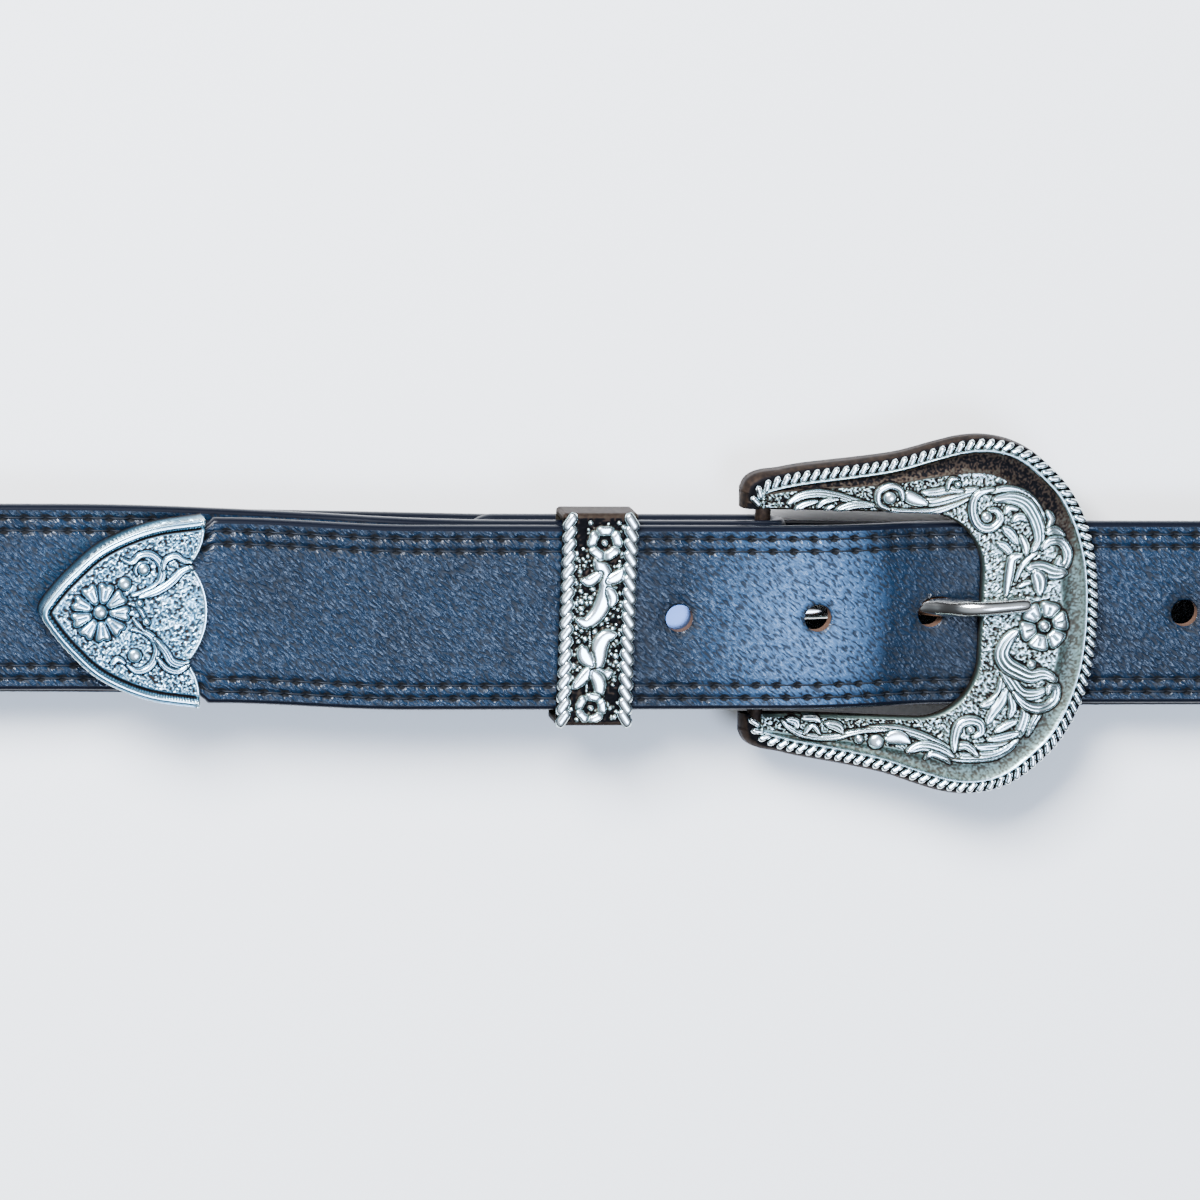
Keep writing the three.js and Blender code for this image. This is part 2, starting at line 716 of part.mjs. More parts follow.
function makeFrame() {
  const half = 26;
  const rings = Array.from({ length: 2 * half + 1 }, (_, k) => frameRing(k, half));
  const body = loft(rings);
  const rimCurve = new THREE.CatmullRomCurve3(rings.map((ring) => {
    const outer = ring[1];
    const inner = ring[2];
    return outer.clone().lerp(inner, 0.5).setZ(0);
  }));
  rimCurve.arcLengthDivisions = 800;
  const radius = RIM_WIDTH / 2;
  const rim = rope(rimCurve, rimCurve.getLength(), ROPE_PITCH, radius, 0.6,
    (x) => frameUnder(x) + FRAME_THICKNESS - 0.1);
  const bar = barCylinder(BAR_RADIUS, 2 * OPENING_HALF + 3, 16);
  const domes = FRAME_DOMES.map(({ x, y, radius: r }) => dome(x, y, r, r, 0, 1, frameGround, 9));
  const bloom = flower(91.4, -1.9, 5.4, 6, frameGround);
  return joined([body, rim, bar, bloom, ...domes, ...ribs(FRAME_RIBS, frameGround)]);
}

addPiece('buckle_frame', makeFrame(), silver);

// Keeper: a metal band round the stacked strap, its back under the front layer

const keeperInnerTop = OVERLAP_Z + LEATHER / 2 + GAP;
const keeperTop = keeperInnerTop + KEEPER_FRONT;
const keeperInnerBottom = FRONT_Z - LEATHER / 2 - GAP;
const KEEPER_RIBS = [
  { width: 3, height: 0.9, through: [[-1, 14], [1.2, 10.6], [0.6, 6.6], [-1.6, 2.8], [-2.8, -0.4]] },
  { width: 1.8, height: 0.8, through: [[0.6, 8.6], [-1.6, 9.4], [-3.5, 8.2]] },
  { width: 1.8, height: 0.8, through: [[0.9, 7.2], [2.9, 8.2], [4.1, 10]] },
  { width: 1.6, height: 0.8, through: [[-0.8, 3.4], [1, 2.4], [2.7, 3.4]] },
  { width: 3, height: 0.9, through: [[2.7, -2.7], [1, -5.6], [-0.9, -8.6], [-0.6, -12], [0.6, -15]] },
  { width: 1.6, height: 0.8, through: [[-0.2, -6.6], [-1.8, -5.2], [-3.3, -5.5]] },
  { width: 1.8, height: 0.8, through: [[-0.8, -10.8], [-2.8, -11.4], [-4.2, -13.4]] },
  { width: 1.8, height: 0.8, through: [[-0.4, -12.4], [1.2, -10.8], [2.9, -10.6]] },
];

function makeKeeper() {
  const outline = new THREE.Shape();
  const outer = KEEPER_HALF_HEIGHT;
  const inner = outer - KEEPER_SIDE;
  const low = keeperInnerBottom - KEEPER_BACK;
  const corner = KEEPER_CORNER;
  outline.moveTo(-outer + corner, low);
  outline.lineTo(outer - corner, low);
  outline.quadraticCurveTo(outer, low, outer, low + corner);
  outline.lineTo(outer, keeperTop - corner);
  outline.quadraticCurveTo(outer, keeperTop, outer - corner, keeperTop);
  outline.lineTo(-outer + corner, keeperTop);
  outline.quadraticCurveTo(-outer, keeperTop, -outer, keeperTop - corner);
  outline.lineTo(-outer, low + corner);
  outline.quadraticCurveTo(-outer, low, -outer + corner, low);
  const hole = new THREE.Path();
  hole.moveTo(-inner, keeperInnerBottom);
  hole.lineTo(-inner, keeperInnerTop);
  hole.lineTo(inner, keeperInnerTop);
  hole.lineTo(inner, keeperInnerBottom);
  hole.closePath();
  outline.holes.push(hole);
  const width = KEEPER_RIGHT_X - KEEPER_LEFT_X;
  const extent = { depth: width, bevelEnabled: false, curveSegments: 3 };
  const geometry = new THREE.ExtrudeGeometry(outline, extent);
  geometry.applyMatrix4(new THREE.Matrix4().makeBasis(
    new THREE.Vector3(0, 1, 0), new THREE.Vector3(0, 0, 1), new THREE.Vector3(1, 0, 0)));
  geometry.translate(KEEPER_LEFT_X, 0, 0);
  const ground = () => keeperTop;
  const ropeReach = outer - corner;
  const ropeHalf = KEEPER_ROPE_WIDTH / 2;
  const ropes = [[KEEPER_LEFT_X + ropeHalf, 0.7], [KEEPER_RIGHT_X - ropeHalf, -0.7]];
  const ropeSolids = ropes.map(([x, slant]) => {
    const from = new THREE.Vector3(x, -ropeReach, 0);
    const line = new THREE.LineCurve3(from, new THREE.Vector3(x, ropeReach, 0));
    return rope(line, 2 * ropeReach, KEEPER_ROPE_PITCH, ropeHalf, slant, () => keeperTop - 0.1);
  });
  const flowers = [flower(0.6, 15.9, 2.95, 5, ground), flower(-0.9, -18, 2.95, 5, ground)];
  return joined([toSolid(geometry), ...ropeSolids, ...flowers, ...ribs(KEEPER_RIBS, ground)]);
}

addPiece('keeper', makeKeeper(), silver);

// Belt tip: a pointed shell pushed over the strap's end

const tipInnerTop = OVERLAP_Z + LEATHER / 2 + GAP;
const tipInnerBottom = OVERLAP_Z - LEATHER / 2 - GAP;
const tipTop = tipInnerTop + TIP_PLATE;
const TIP_RIBS = [
  { width: 2, height: 0.8, through: [[-97.1, 6.1], [-92.6, 6.6], [-90.2, 10.4], [-93.4, 12.8]] },
  { width: 2.2, height: 0.9, through: [[-91, 8.4], [-88.4, 9], [-85.6, 11.4]] },
  { width: 1.8, height: 0.8, through: [[-92.6, 12.9], [-96.4, 14.4], [-99.6, 12.7]] },
  { width: 2.2, height: 0.9, through: [[-96.5, -0.2], [-91.6, -2.6], [-91, -7.4], [-94, -9.8]] },
  { width: 2.2, height: 0.9, through: [[-91.6, -6.4], [-88.4, -8], [-85.6, -11]] },
  { width: 1.8, height: 0.8, through: [[-93.6, -10], [-97.2, -11.4], [-100.2, -8.6]] },
];
const TIP_DOMES = [
  { x: -94.9, y: 10.2, radius: 1.5 },
  { x: -96.6, y: -6.9, radius: 1.5 },
  { x: -99, y: 6.5, radius: 1.1 },
];

function tipShape(inset, scalloped) {
  const shape = new THREE.Shape();
  const points = insetTip(inset);
  shape.moveTo(points[0].x, points[0].y);
  shape.splineThru(points.slice(1));
  if (scalloped) {
    const [cusp, bulge] = TIP_SCALLOP;
    shape.quadraticCurveTo(cusp.x + 3.2, -cusp.y - 4, cusp.x, -cusp.y);
    shape.quadraticCurveTo(bulge.x, -5.5, bulge.x, 0);
    shape.quadraticCurveTo(bulge.x, 5.5, cusp.x, cusp.y);
    shape.quadraticCurveTo(cusp.x + 3.2, cusp.y + 4, points[0].x, points[0].y);
  } else {
    shape.lineTo(points.at(-1).x + TIP_HALF_HEIGHT, points.at(-1).y);
    shape.lineTo(points[0].x + TIP_HALF_HEIGHT, points[0].y);
  }
  return shape;
}

function makeTip() {
  const shell = plate(tipShape(0, true), tipInnerBottom - TIP_BACK_PLATE, tipTop);
  const pocket = plate(tipShape(TIP_WALL, false), tipInnerBottom, tipInnerTop);
  const rimPoints = insetTip(TIP_RIM_WIDTH / 2);
  const rimCurve = new THREE.CatmullRomCurve3(rimPoints.map(({ x, y }) => new THREE.Vector3(x, y, 0)));
  const rimRings = Array.from({ length: 31 }, (_, i) => {
    const centre = rimCurve.getPointAt(i / 30);
    const along = rimCurve.getTangentAt(i / 30);
    const rows = [[-0.8, -0.5], [0.95, -0.5], [0.55, 0.7], [-0.4, 0.7]];
    return rows.map(([across, up]) => new THREE.Vector3(
      centre.x - along.y * across, centre.y + along.x * across, tipTop + up));
  });
  const ground = () => tipTop;
  const domes = TIP_DOMES.map(({ x, y, radius }) => dome(x, y, radius, radius, 0, 0.9, ground, 10));
  const raised = [loft(rimRings), flower(-103.7, 1, 6, 9, ground), ...domes, ...ribs(TIP_RIBS, ground)];
  return joined([shell.subtract(pocket), ...raised]);
}

addPiece('belt_tip', makeTip().translate([0, TIP_SHIFT_Y, 0]), silver);

export default belt;
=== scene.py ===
import math

import bmesh
import bpy
import numpy as np
from mathutils import Matrix, Vector


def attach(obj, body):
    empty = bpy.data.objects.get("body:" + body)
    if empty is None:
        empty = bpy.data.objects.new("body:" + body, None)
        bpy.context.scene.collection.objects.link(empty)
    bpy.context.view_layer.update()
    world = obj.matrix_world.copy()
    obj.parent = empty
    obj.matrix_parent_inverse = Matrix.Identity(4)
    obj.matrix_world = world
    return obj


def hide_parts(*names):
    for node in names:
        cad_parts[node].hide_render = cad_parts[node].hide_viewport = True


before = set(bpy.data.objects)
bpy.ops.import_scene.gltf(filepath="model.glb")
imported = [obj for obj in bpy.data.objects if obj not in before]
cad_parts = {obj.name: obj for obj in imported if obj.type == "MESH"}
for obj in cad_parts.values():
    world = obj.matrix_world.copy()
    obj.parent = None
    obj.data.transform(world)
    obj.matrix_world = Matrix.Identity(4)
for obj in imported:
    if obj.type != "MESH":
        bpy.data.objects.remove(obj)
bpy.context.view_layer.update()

# Leather strap: one length of 38 mm black-blue cowhide, turned back round the buckle's bar.
# It is cut, edge-painted and sewn with two rows along each edge; the waist part lies flattened
# on its own rear half, as a buckled belt does on a table.
MM = 0.001
WIDTH = 38.0
LEATHER = 3.0
HALF = WIDTH / 2
WAIST_LENGTH = 914.0
GAP = 0.3
TURN_BACK_END_X, TURN_BACK_CORNER = -28.3, 6.0
TURN_BACK_Z, DROOP_Z, UNDER_BOW_Z, REAR_Z = 10.5, 16.0, 15.0, LEATHER / 2
BAR_X, BAR_RADIUS = 33.0, 1.6
FOLD_RADIUS = BAR_RADIUS + GAP + LEATHER / 2
BAR_Z = TURN_BACK_Z + FOLD_RADIUS
FRONT_Z = BAR_Z + FOLD_RADIUS
OVERLAP_Z = FRONT_Z + LEATHER + GAP
BEND_OUT_RADIUS, BEND_RADIUS = 30.0, 21.0
DROOP_START_X, DROOP_RUN = -36.0, 30.0
RISE_START_X, RISE_RUN = 77.5, 39.0
REAR_RIGHT_Y, REAR_LEFT_Y, REAR_TURN_X, REAR_TURN_RUN = -3.2, 0.0, 110.0, 240.0
LEFT_DRIFT_Y, FRONT_DRIFT_Y = 3.3, 0.4
FRONT_DRIFT_START_X, FRONT_DRIFT_RUN, BEND_DRIFT_RUN = -20, 90, 120
PRONG_HOLE_X = 68.2
HOLE_RADIUS = 2.8
HOLES_FROM_PRONG = (0.0, -25.0, -53.7, 26.8, 53.6)
TIP_OUTLINE = [(-83.2, 19.3), (-94, 17.6), (-103.4, 13.6), (-109.7, 8.2), (-114, 3.2), (-115.6, 0)]
TIP_WALL = 1.2
TAPER_START_X, TAPER_EASE = TIP_OUTLINE[0][0] + 2.3, 1.6
TIP_SHIFT_Y, TIP_DRIFT_START_X, TIP_DRIFT_RUN = 1.5, -40.0, 40.0
STITCH_PITCH = 4.3
STITCH_ROWS = (16.4, 13.8)
ROW_LAGS, UPPER_LAG_SHARE = (0.0, 0.5), 0.12
CHANNEL_DEPTH, NEEDLE_DEPTH = 0.24, 0.72
SECTION_STEP = STITCH_PITCH / 5


def smooth_step(t):
    c = np.clip(t, 0, 1)
    return c * c * (3 - 2 * c)


def bend_angle(front_z):
    drop = front_z + BEND_OUT_RADIUS - BEND_RADIUS - REAR_Z
    return math.acos(drop / (BEND_OUT_RADIUS + BEND_RADIUS))


def bend_reach(angle):
    return (BEND_OUT_RADIUS + BEND_RADIUS) * math.sin(angle)


def sway_parts(run, height, turn):
    radius = (run * run + height * height) / (4 * height)
    angle = math.asin(run / (2 * radius))
    return [("arc", radius, turn * angle), ("arc", radius, -turn * angle)]


def strap_parts(level_half):
    """The strap's middle line from the turned-back end to the point, as lines and arcs."""
    left, right = bend_angle(DROOP_Z), bend_angle(UNDER_BOW_Z)
    centre_x = level_half + bend_reach(left)
    right_level_x = centre_x - bend_reach(right)
    leather_end = TIP_OUTLINE[-1][0] + TIP_WALL + 4 * GAP
    return [
        ("line", BAR_X - TURN_BACK_END_X),
        ("arc", FOLD_RADIUS, math.pi),
        ("line", BAR_X - DROOP_START_X),
        *sway_parts(DROOP_RUN, FRONT_Z - DROOP_Z, 1),
        ("line", DROOP_START_X - DROOP_RUN + level_half),
        ("arc", BEND_OUT_RADIUS, -left),
        ("arc", BEND_RADIUS, math.pi + left),
        ("line", 2 * centre_x),
        ("arc", BEND_RADIUS, math.pi + right),
        ("arc", BEND_OUT_RADIUS, -right),
        ("line", right_level_x - RISE_START_X),
        *sway_parts(RISE_RUN, OVERLAP_Z - UNDER_BOW_Z, -1),
        ("line", RISE_START_X - RISE_RUN - TAPER_START_X),
        ("line", TAPER_START_X - leather_end),
    ]


def part_length(part):
    return part[1] if part[0] == "line" else part[1] * abs(part[2])


def trace_strap(level_half):
    """Rows of length, x, z and heading at even steps, and the length at the start of each part."""
    x, z, heading, length = TURN_BACK_END_X, TURN_BACK_Z, 0.0, 0.0
    rows, starts = [(0.0, x, z, 0.0)], []
    for part in strap_parts(level_half):
        starts.append(length)
        steps = max(2, round(part_length(part) / SECTION_STEP))
        for _ in range(steps):
            if part[0] == "line":
                x += math.cos(heading) * part[1] / steps
                z += math.sin(heading) * part[1] / steps
            else:
                side = math.copysign(part[1], part[2])
                turned = heading + part[2] / steps
                x += side * (math.sin(turned) - math.sin(heading))
                z -= side * (math.cos(turned) - math.cos(heading))
                heading = turned
            length += part_length(part) / steps
            rows.append((length, x, z, heading))
    return np.array(rows), starts


def waist_of(level_half):
    parts = strap_parts(level_half)
    before_hole = sum(part_length(part) for part in parts[:11]) - parts[0][1]
    rise = parts[12]
    run = RISE_START_X - PRONG_HOLE_X
    return before_hole + part_length(parts[11]) + rise[1] * math.asin(run / rise[1])


level_half = 150.0
for _ in range(4):
    level_half += (WAIST_LENGTH - waist_of(level_half)) / 4
trace, part_starts = trace_strap(level_half)
rear_start, rear_end = part_starts[8], part_starts[9]
taper_start = part_starts[-1]
prong_hole_s = part_starts[1] + WAIST_LENGTH


def drift_at(s, x):
    """How far the strap wanders across, so that its rear half lies a little to one side."""
    rear = REAR_RIGHT_Y + (REAR_LEFT_Y - REAR_RIGHT_Y) * smooth_step((REAR_TURN_X - x) / REAR_TURN_RUN)
    rise = smooth_step((FRONT_DRIFT_START_X - x) / FRONT_DRIFT_RUN)
    front = FRONT_DRIFT_Y + (LEFT_DRIFT_Y - FRONT_DRIFT_Y) * rise
    bend = smooth_step((s - (rear_start - BEND_DRIFT_RUN)) / BEND_DRIFT_RUN)
    first = np.where(s < part_starts[2], FRONT_DRIFT_Y, front + (rear - front) * bend)
    last = rear * (1 - smooth_step((s - rear_end) / BEND_DRIFT_RUN))
    last = last + TIP_SHIFT_Y * smooth_step((TIP_DRIFT_START_X - x) / TIP_DRIFT_RUN)
    return np.where(s < rear_start, first, np.where(s < rear_end, rear, last))


def inset_outline(outline, amount):
    """A symmetric outline, given as its upper half, moved inward; both halves are returned."""
    whole = np.array(outline + [(x, -y) for x, y in outline[-2::-1]], float)
    along = np.empty_like(whole)
    along[1:-1] = whole[2:] - whole[:-2]
    along[0], along[-1] = whole[1] - whole[0], whole[-1] - whole[-2]
    along /= np.linalg.norm(along, axis=1)[:, None]
    return whole + np.column_stack((-along[:, 1], along[:, 0])) * amount


def half_width_at(s, x):
    point = inset_outline(TIP_OUTLINE, TIP_WALL + 2 * GAP)[:len(TIP_OUTLINE)][::-1]
    inside = np.interp(x, point[:, 0], point[:, 1])
    eased = smooth_step((s - taper_start) / TAPER_EASE)
    half = HALF + (np.minimum(HALF, inside) - HALF) * eased
    corner = np.clip(TURN_BACK_CORNER - s, 0, TURN_BACK_CORNER)
    rounded = HALF - TURN_BACK_CORNER + np.sqrt(TURN_BACK_CORNER ** 2 - corner ** 2)
    return np.where(s < TURN_BACK_CORNER, rounded, half)


PUFF_V, PUFF_HEIGHT = 15.1, 0.3
RIDGE_V, RIDGE_HEIGHT = 12.8, 0.1
HOLE_DENT, HOLE_DENT_REACH = 0.55, 1.2


def row_dip(s, v):
    """Depth of the sewn channels, with a dimple at each needle hole and puffed leather between."""
    dip = np.zeros(np.broadcast_shapes(s.shape, v.shape))
    for row, offset in zip(STITCH_ROWS, ROW_LAGS):
        lag = np.where(v < 0, offset, UPPER_LAG_SHARE * offset) * STITCH_PITCH
        phase = (s + lag) / STITCH_PITCH
        to_hole = (phase - np.round(phase)) * STITCH_PITCH
        across = np.abs(v) - row
        dip += CHANNEL_DEPTH * np.exp(-(across / 0.42) ** 2)
        dip += NEEDLE_DEPTH * np.exp(-(across / 0.62) ** 2 - (to_hole / 0.9) ** 2)
    between = 0.5 - 0.5 * np.cos(2 * math.pi * (s / STITCH_PITCH + 0.12))
    dip -= PUFF_HEIGHT * between * np.exp(-((np.abs(v) - PUFF_V) / 0.55) ** 2)
    dip -= RIDGE_HEIGHT * np.exp(-((np.abs(v) - RIDGE_V) / 0.5) ** 2)
    return dip


def hole_dip(s, v):
    """The leather sinks a little round each punched hole."""
    dip = np.zeros(np.broadcast_shapes(s.shape, v.shape))
    for offset in HOLES_FROM_PRONG:
        far = np.hypot(s - (prong_hole_s - offset), v)
        dip += HOLE_DENT * np.exp(-((far - HOLE_RADIUS) / HOLE_DENT_REACH) ** 2)
    return dip


def mesh_object(name, points, face_sets, smooth=True):
    """A mesh object from points in millimetres and arrays of quads or triangles."""
    mesh = bpy.data.meshes.new(name)
    mesh.vertices.add(len(points))
    mesh.vertices.foreach_set("co", (np.asarray(points, float) * MM).ravel())
    corners = np.concatenate([faces.ravel() for faces in face_sets]).astype(np.int32)
    sizes = np.concatenate([np.full(len(faces), faces.shape[1]) for faces in face_sets])
    mesh.loops.add(len(corners))
    mesh.loops.foreach_set("vertex_index", corners)
    mesh.polygons.add(len(sizes))
    starts = np.concatenate(([0], np.cumsum(sizes)[:-1])).astype(np.int32)
    mesh.polygons.foreach_set("loop_start", starts)
    mesh.polygons.foreach_set("use_smooth", np.full(len(sizes), smooth))
    mesh.update(calc_edges=True)
    mesh.validate()
    thing = bpy.data.objects.new(name, mesh)
    bpy.context.scene.collection.objects.link(thing)
    return thing


def grid_faces(rows, columns, wrap=False, first=0):
    """Quads of a grid whose columns may close on themselves."""
    i, j = np.meshgrid(np.arange(rows - 1), np.arange(columns if wrap else columns - 1), indexing="ij")
    after = (j + 1) % columns
    quads = np.stack((i * columns + j, i * columns + after, (i + 1) * columns + after,
                      (i + 1) * columns + j), axis=-1)
    return quads.reshape(-1, 4) + first


def end_fans(rows, columns, first=0):
    """Triangles that close a tube's two ends, to two middle points added after its rings."""
    j = np.arange(columns)
    after = (j + 1) % columns
    start_middle = first + rows * columns
    last = first + (rows - 1) * columns
    start = np.column_stack((after + first, j + first, np.full(columns, start_middle)))
    end = np.column_stack((j + last, after + last, np.full(columns, start_middle + 1)))
    return np.concatenate((start, end))


def faces_out(thing):
    """Turns a closed mesh's faces outward."""
    mesh = bmesh.new()
    mesh.from_mesh(thing.data)
    bmesh.ops.recalc_face_normals(mesh, faces=mesh.faces)
    mesh.to_mesh(thing.data)
    mesh.free()
    return thing


def tube_mesh(name, tubes, smooth=True):
    """Closed skins over rings of points, each tube (rows, columns, 3) and all of one size."""
    rows, columns = tubes[0].shape[:2]
    firsts = [tube * (rows * columns + 2) for tube in range(len(tubes))]
    points = [np.concatenate((rings.reshape(-1, 3), rings[[0, -1]].mean(axis=1))) for rings in tubes]
    quads = [grid_faces(rows, columns, True, first) for first in firsts]
    fans = [end_fans(rows, columns, first) for first in firsts]
    return faces_out(mesh_object(name, np.concatenate(points),
                                 [np.concatenate(quads), np.concatenate(fans)], smooth))


def linear(code, alpha=1.0):
    """sRGB hex to linear colour."""
    parts = [int(code[k:k + 2], 16) / 255 for k in (1, 3, 5)]
    return (*[c / 12.92 if c <= 0.04045 else ((c + 0.055) / 1.055) ** 2.4 for c in parts], alpha)


def add_node(tree, kind, settings=None, feeds=None):
    """Adds one shader node. Settings are its properties, or the stops of a colour ramp. Feeds are
    its inputs, by name or in order: each is a value, or another node's output to link."""
    made = tree.nodes.new(kind)
    for key, value in (settings or {}).items():
        if key == "stops":
            elements = made.color_ramp.elements
            for element, (place, code) in ((elements[0], value[0]), (elements[1], value[-1])):
                element.position, element.color = place, linear(code)
            for place, code in value[1:-1]:
                elements.new(place).color = linear(code)
        else:
            setattr(made, key, value)
    named = feeds if isinstance(feeds, dict) else dict(enumerate(feeds or ()))
    for key, value in named.items():
        if isinstance(value, bpy.types.NodeSocket):
            tree.links.new(value, made.inputs[key])
        else:
            made.inputs[key].default_value = value
    return made


def new_material(name, finish):
    """A node material: its shader, with the inputs that the finish sets, and its output."""
    material = bpy.data.materials.new(name)
    material.use_nodes = True
    tree = material.node_tree
    tree.nodes.clear()
    shader = add_node(tree, "ShaderNodeBsdfPrincipled", {}, finish)
    add_node(tree, "ShaderNodeOutputMaterial", {}, {"Surface": shader.outputs[0]})
    return material, tree, shader


# Places across the strap, closer together at the rounded edges and the sewn rows.
EDGE_ROUND, EDGE_THINNED, THINNED_FROM, THINNED_RUN = 1.1, 0.22, 12.5, 6
LINING_MAP_SHIFT = 60
edge_turn = np.radians([0, 22, 45, 68, 90])
edge_side = HALF - EDGE_ROUND + EDGE_ROUND * np.cos(edge_turn)
edge_drop = EDGE_ROUND * (1 - np.sin(edge_turn))
face_side = np.array([17.1, 16.75, 16.4, 16.05, 15.7, 15.1, 14.5, 14.15, 13.8, 13.45, 13.1, 12.2, 10,
                      7, 4.4, 3.2, 2.2, 1])
lining_side = np.array([16.6, 13.9, 9, 4])
face_v = np.concatenate((-edge_side, -face_side, face_side[::-1], edge_side[::-1]))
face_up = np.concatenate((edge_drop, np.zeros(2 * len(face_side)), edge_drop[::-1])) - LEATHER / 2
back_edge = edge_side[1:]
lining_v = np.concatenate((back_edge, lining_side, -lining_side[::-1], -back_edge[::-1]))
lining_up = LEATHER / 2 - np.concatenate((edge_drop[1:], np.zeros(2 * len(lining_side)), edge_drop[:0:-1]))
column_v = np.concatenate((face_v, lining_v))
column_up = np.concatenate((face_up, lining_up))

s_rows, x_rows, z_rows, heading_rows = [column[:, None] for column in trace.T]
stretch = half_width_at(s_rows, x_rows) / HALF
dips = row_dip(s_rows, column_v[None, :]) + hole_dip(s_rows, column_v[None, :])
on_face = np.arange(len(column_v)) < len(face_v)
flatten = smooth_step((np.abs(column_v) - THINNED_FROM) / THINNED_RUN)[None, :] * EDGE_THINNED
out = column_up[None, :] + on_face[None, :] * (dips + flatten) * (column_up < -0.3)
strap_points = np.stack((
    x_rows - np.sin(heading_rows) * out,
    drift_at(s_rows, x_rows) + column_v[None, :] * stretch,
    z_rows + np.cos(heading_rows) * out), axis=-1)
strap = tube_mesh("strap_leather", [strap_points])

belt_map = strap.data.uv_layers.new(name="belt")
vertex_of_loop = np.empty(len(strap.data.loops), np.int32)
strap.data.loops.foreach_get("vertex_index", vertex_of_loop)
places = np.column_stack((np.repeat(trace[:, 0], len(column_v)), np.tile(column_v, len(trace)) +
                          np.where(np.tile(column_up, len(trace)) > 0, LINING_MAP_SHIFT, 0)))
places = np.concatenate((places, [[0, 0], [trace[-1, 0], 0]])) * MM
belt_map.data.foreach_set("uv", places[vertex_of_loop].ravel())

# Painted sheen: a lighter patch left of the prong; painted shade: darker under the bow and beside the
# keeper.
SHEEN_X, SHEEN_RUN, SHEEN_WIDTH = 43, 17, 22
SHADED, BOW_SHADE_X, BOW_SHADE_END_X, KEEPER_SHADE_X = 0.9, 48, 90, 6
on_top = s_rows > rear_end
handled = np.exp(-((x_rows - SHEEN_X) / SHEEN_RUN) ** 2 - (column_v[None, :] / SHEEN_WIDTH) ** 2) * on_top
under_bow = smooth_step((x_rows - BOW_SHADE_X) / 24) * smooth_step((BOW_SHADE_END_X - x_rows) / 8)
handled -= SHADED * under_bow * on_top
handled -= SHADED * np.exp(-((x_rows - KEEPER_SHADE_X) / 6) ** 2) * on_top
for name, values in (
        ("lining", np.clip((np.tile(column_up, len(trace)) - 0.3) / 0.6, 0, 1)),
        ("pinched", (dips * on_face[None, :]).ravel()),
        ("handled", (handled * on_face[None, :]).ravel())):
    stored = strap.data.attributes.new(name, "FLOAT", "POINT")
    stored.data.foreach_set("value", np.concatenate((values, [0, 0])))

# Black-blue box-grain cowhide: smooth aniline top coat, so it keeps a satin shine and the fine
# pressed grain shows; colour drifts slightly along the hide and the inner side is duller. The
# grain is drawn at half a millimetre, a little coarser than real, so that it shows at all.
GRAIN_WIDTH, GRAIN_SLANT, GRAIN_STRETCH, GRAIN_DEPTH = 0.5, 0.7, 2.8, 0.38
PORE_WIDTH, BLOTCH_WIDTH, FIBRE_WIDTH = 2.4, 26, 0.4
NEEDLE_LENGTH, NEEDLE_WIDTH = 1.0, 0.78


def needle_holes(tree, place):
    """One where a needle hole of the two sewn rows shows, from lengths along and across the strap."""
    parts = add_node(tree, "ShaderNodeSeparateXYZ", {}, (place,)).outputs
    along = add_node(tree, "ShaderNodeMath", {"operation": "DIVIDE"},
                     (parts[0], STITCH_PITCH * MM)).outputs[0]
    across = add_node(tree, "ShaderNodeMath", {"operation": "ABSOLUTE"}, (parts[1],)).outputs[0]
    lower = add_node(tree, "ShaderNodeMath", {"operation": "LESS_THAN"}, (parts[1], 0.0)).outputs[0]
    upper_lag = UPPER_LAG_SHARE * ROW_LAGS[1]
    inner_lag = add_node(tree, "ShaderNodeMath", {"operation": "MULTIPLY_ADD"},
                         (lower, ROW_LAGS[1] - upper_lag, upper_lag)).outputs[0]
    shown = []
    for row, lag in zip(STITCH_ROWS, (0.0, inner_lag)):
        run, side = along, across
        for operation, value in (("ADD", lag), ("ADD", 0.5), ("FRACT", 0.0), ("SUBTRACT", 0.5),
                                 ("MULTIPLY", STITCH_PITCH / NEEDLE_LENGTH)):
            run = add_node(tree, "ShaderNodeMath", {"operation": operation}, (run, value)).outputs[0]
        for operation, value in (("SUBTRACT", row * MM), ("DIVIDE", NEEDLE_WIDTH * MM)):
            side = add_node(tree, "ShaderNodeMath", {"operation": operation}, (side, value)).outputs[0]
        squares = [add_node(tree, "ShaderNodeMath", {"operation": "MULTIPLY"}, (part, part)).outputs[0]
                   for part in (run, side)]
        far = add_node(tree, "ShaderNodeMath", {"operation": "ADD"}, squares).outputs[0]
        shown.append(add_node(tree, "ShaderNodeMapRange", {}, (far, 1.15, 0.75, 0.0, 1.0)).outputs[0])
    return add_node(tree, "ShaderNodeMath", {"operation": "MAXIMUM"}, shown).outputs[0]


hide, tree, shader = new_material("box_grain_cowhide", {"IOR": 1.5, "Specular IOR Level": 0.34})
place = add_node(tree, "ShaderNodeUVMap", {"uv_map": "belt"}).outputs[0]
slanted = add_node(tree, "ShaderNodeMapping", {"vector_type": "TEXTURE"}, {
    "Vector": place, "Rotation": (0, 0, GRAIN_SLANT), "Scale": (GRAIN_STRETCH, 1, 1)}).outputs[0]
wrinkles, pores, blotch = [
    add_node(tree, "ShaderNodeTexNoise", {}, {"Vector": where, "Scale": 1 / (width * MM), "Detail": detail,
                                              "Distortion": distortion}).outputs[0]
    for where, width, detail, distortion in ((slanted, GRAIN_WIDTH, 0.5, 0.6), (place, PORE_WIDTH, 2.0, 0.8),
                                             (place, BLOTCH_WIDTH, 2.0, 0.0))]
sheen_and_shade, pinch, inner_side = [add_node(tree, "ShaderNodeAttribute", {"attribute_name": name}).outputs["Fac"]
                           for name in ("handled", "pinched", "lining")]
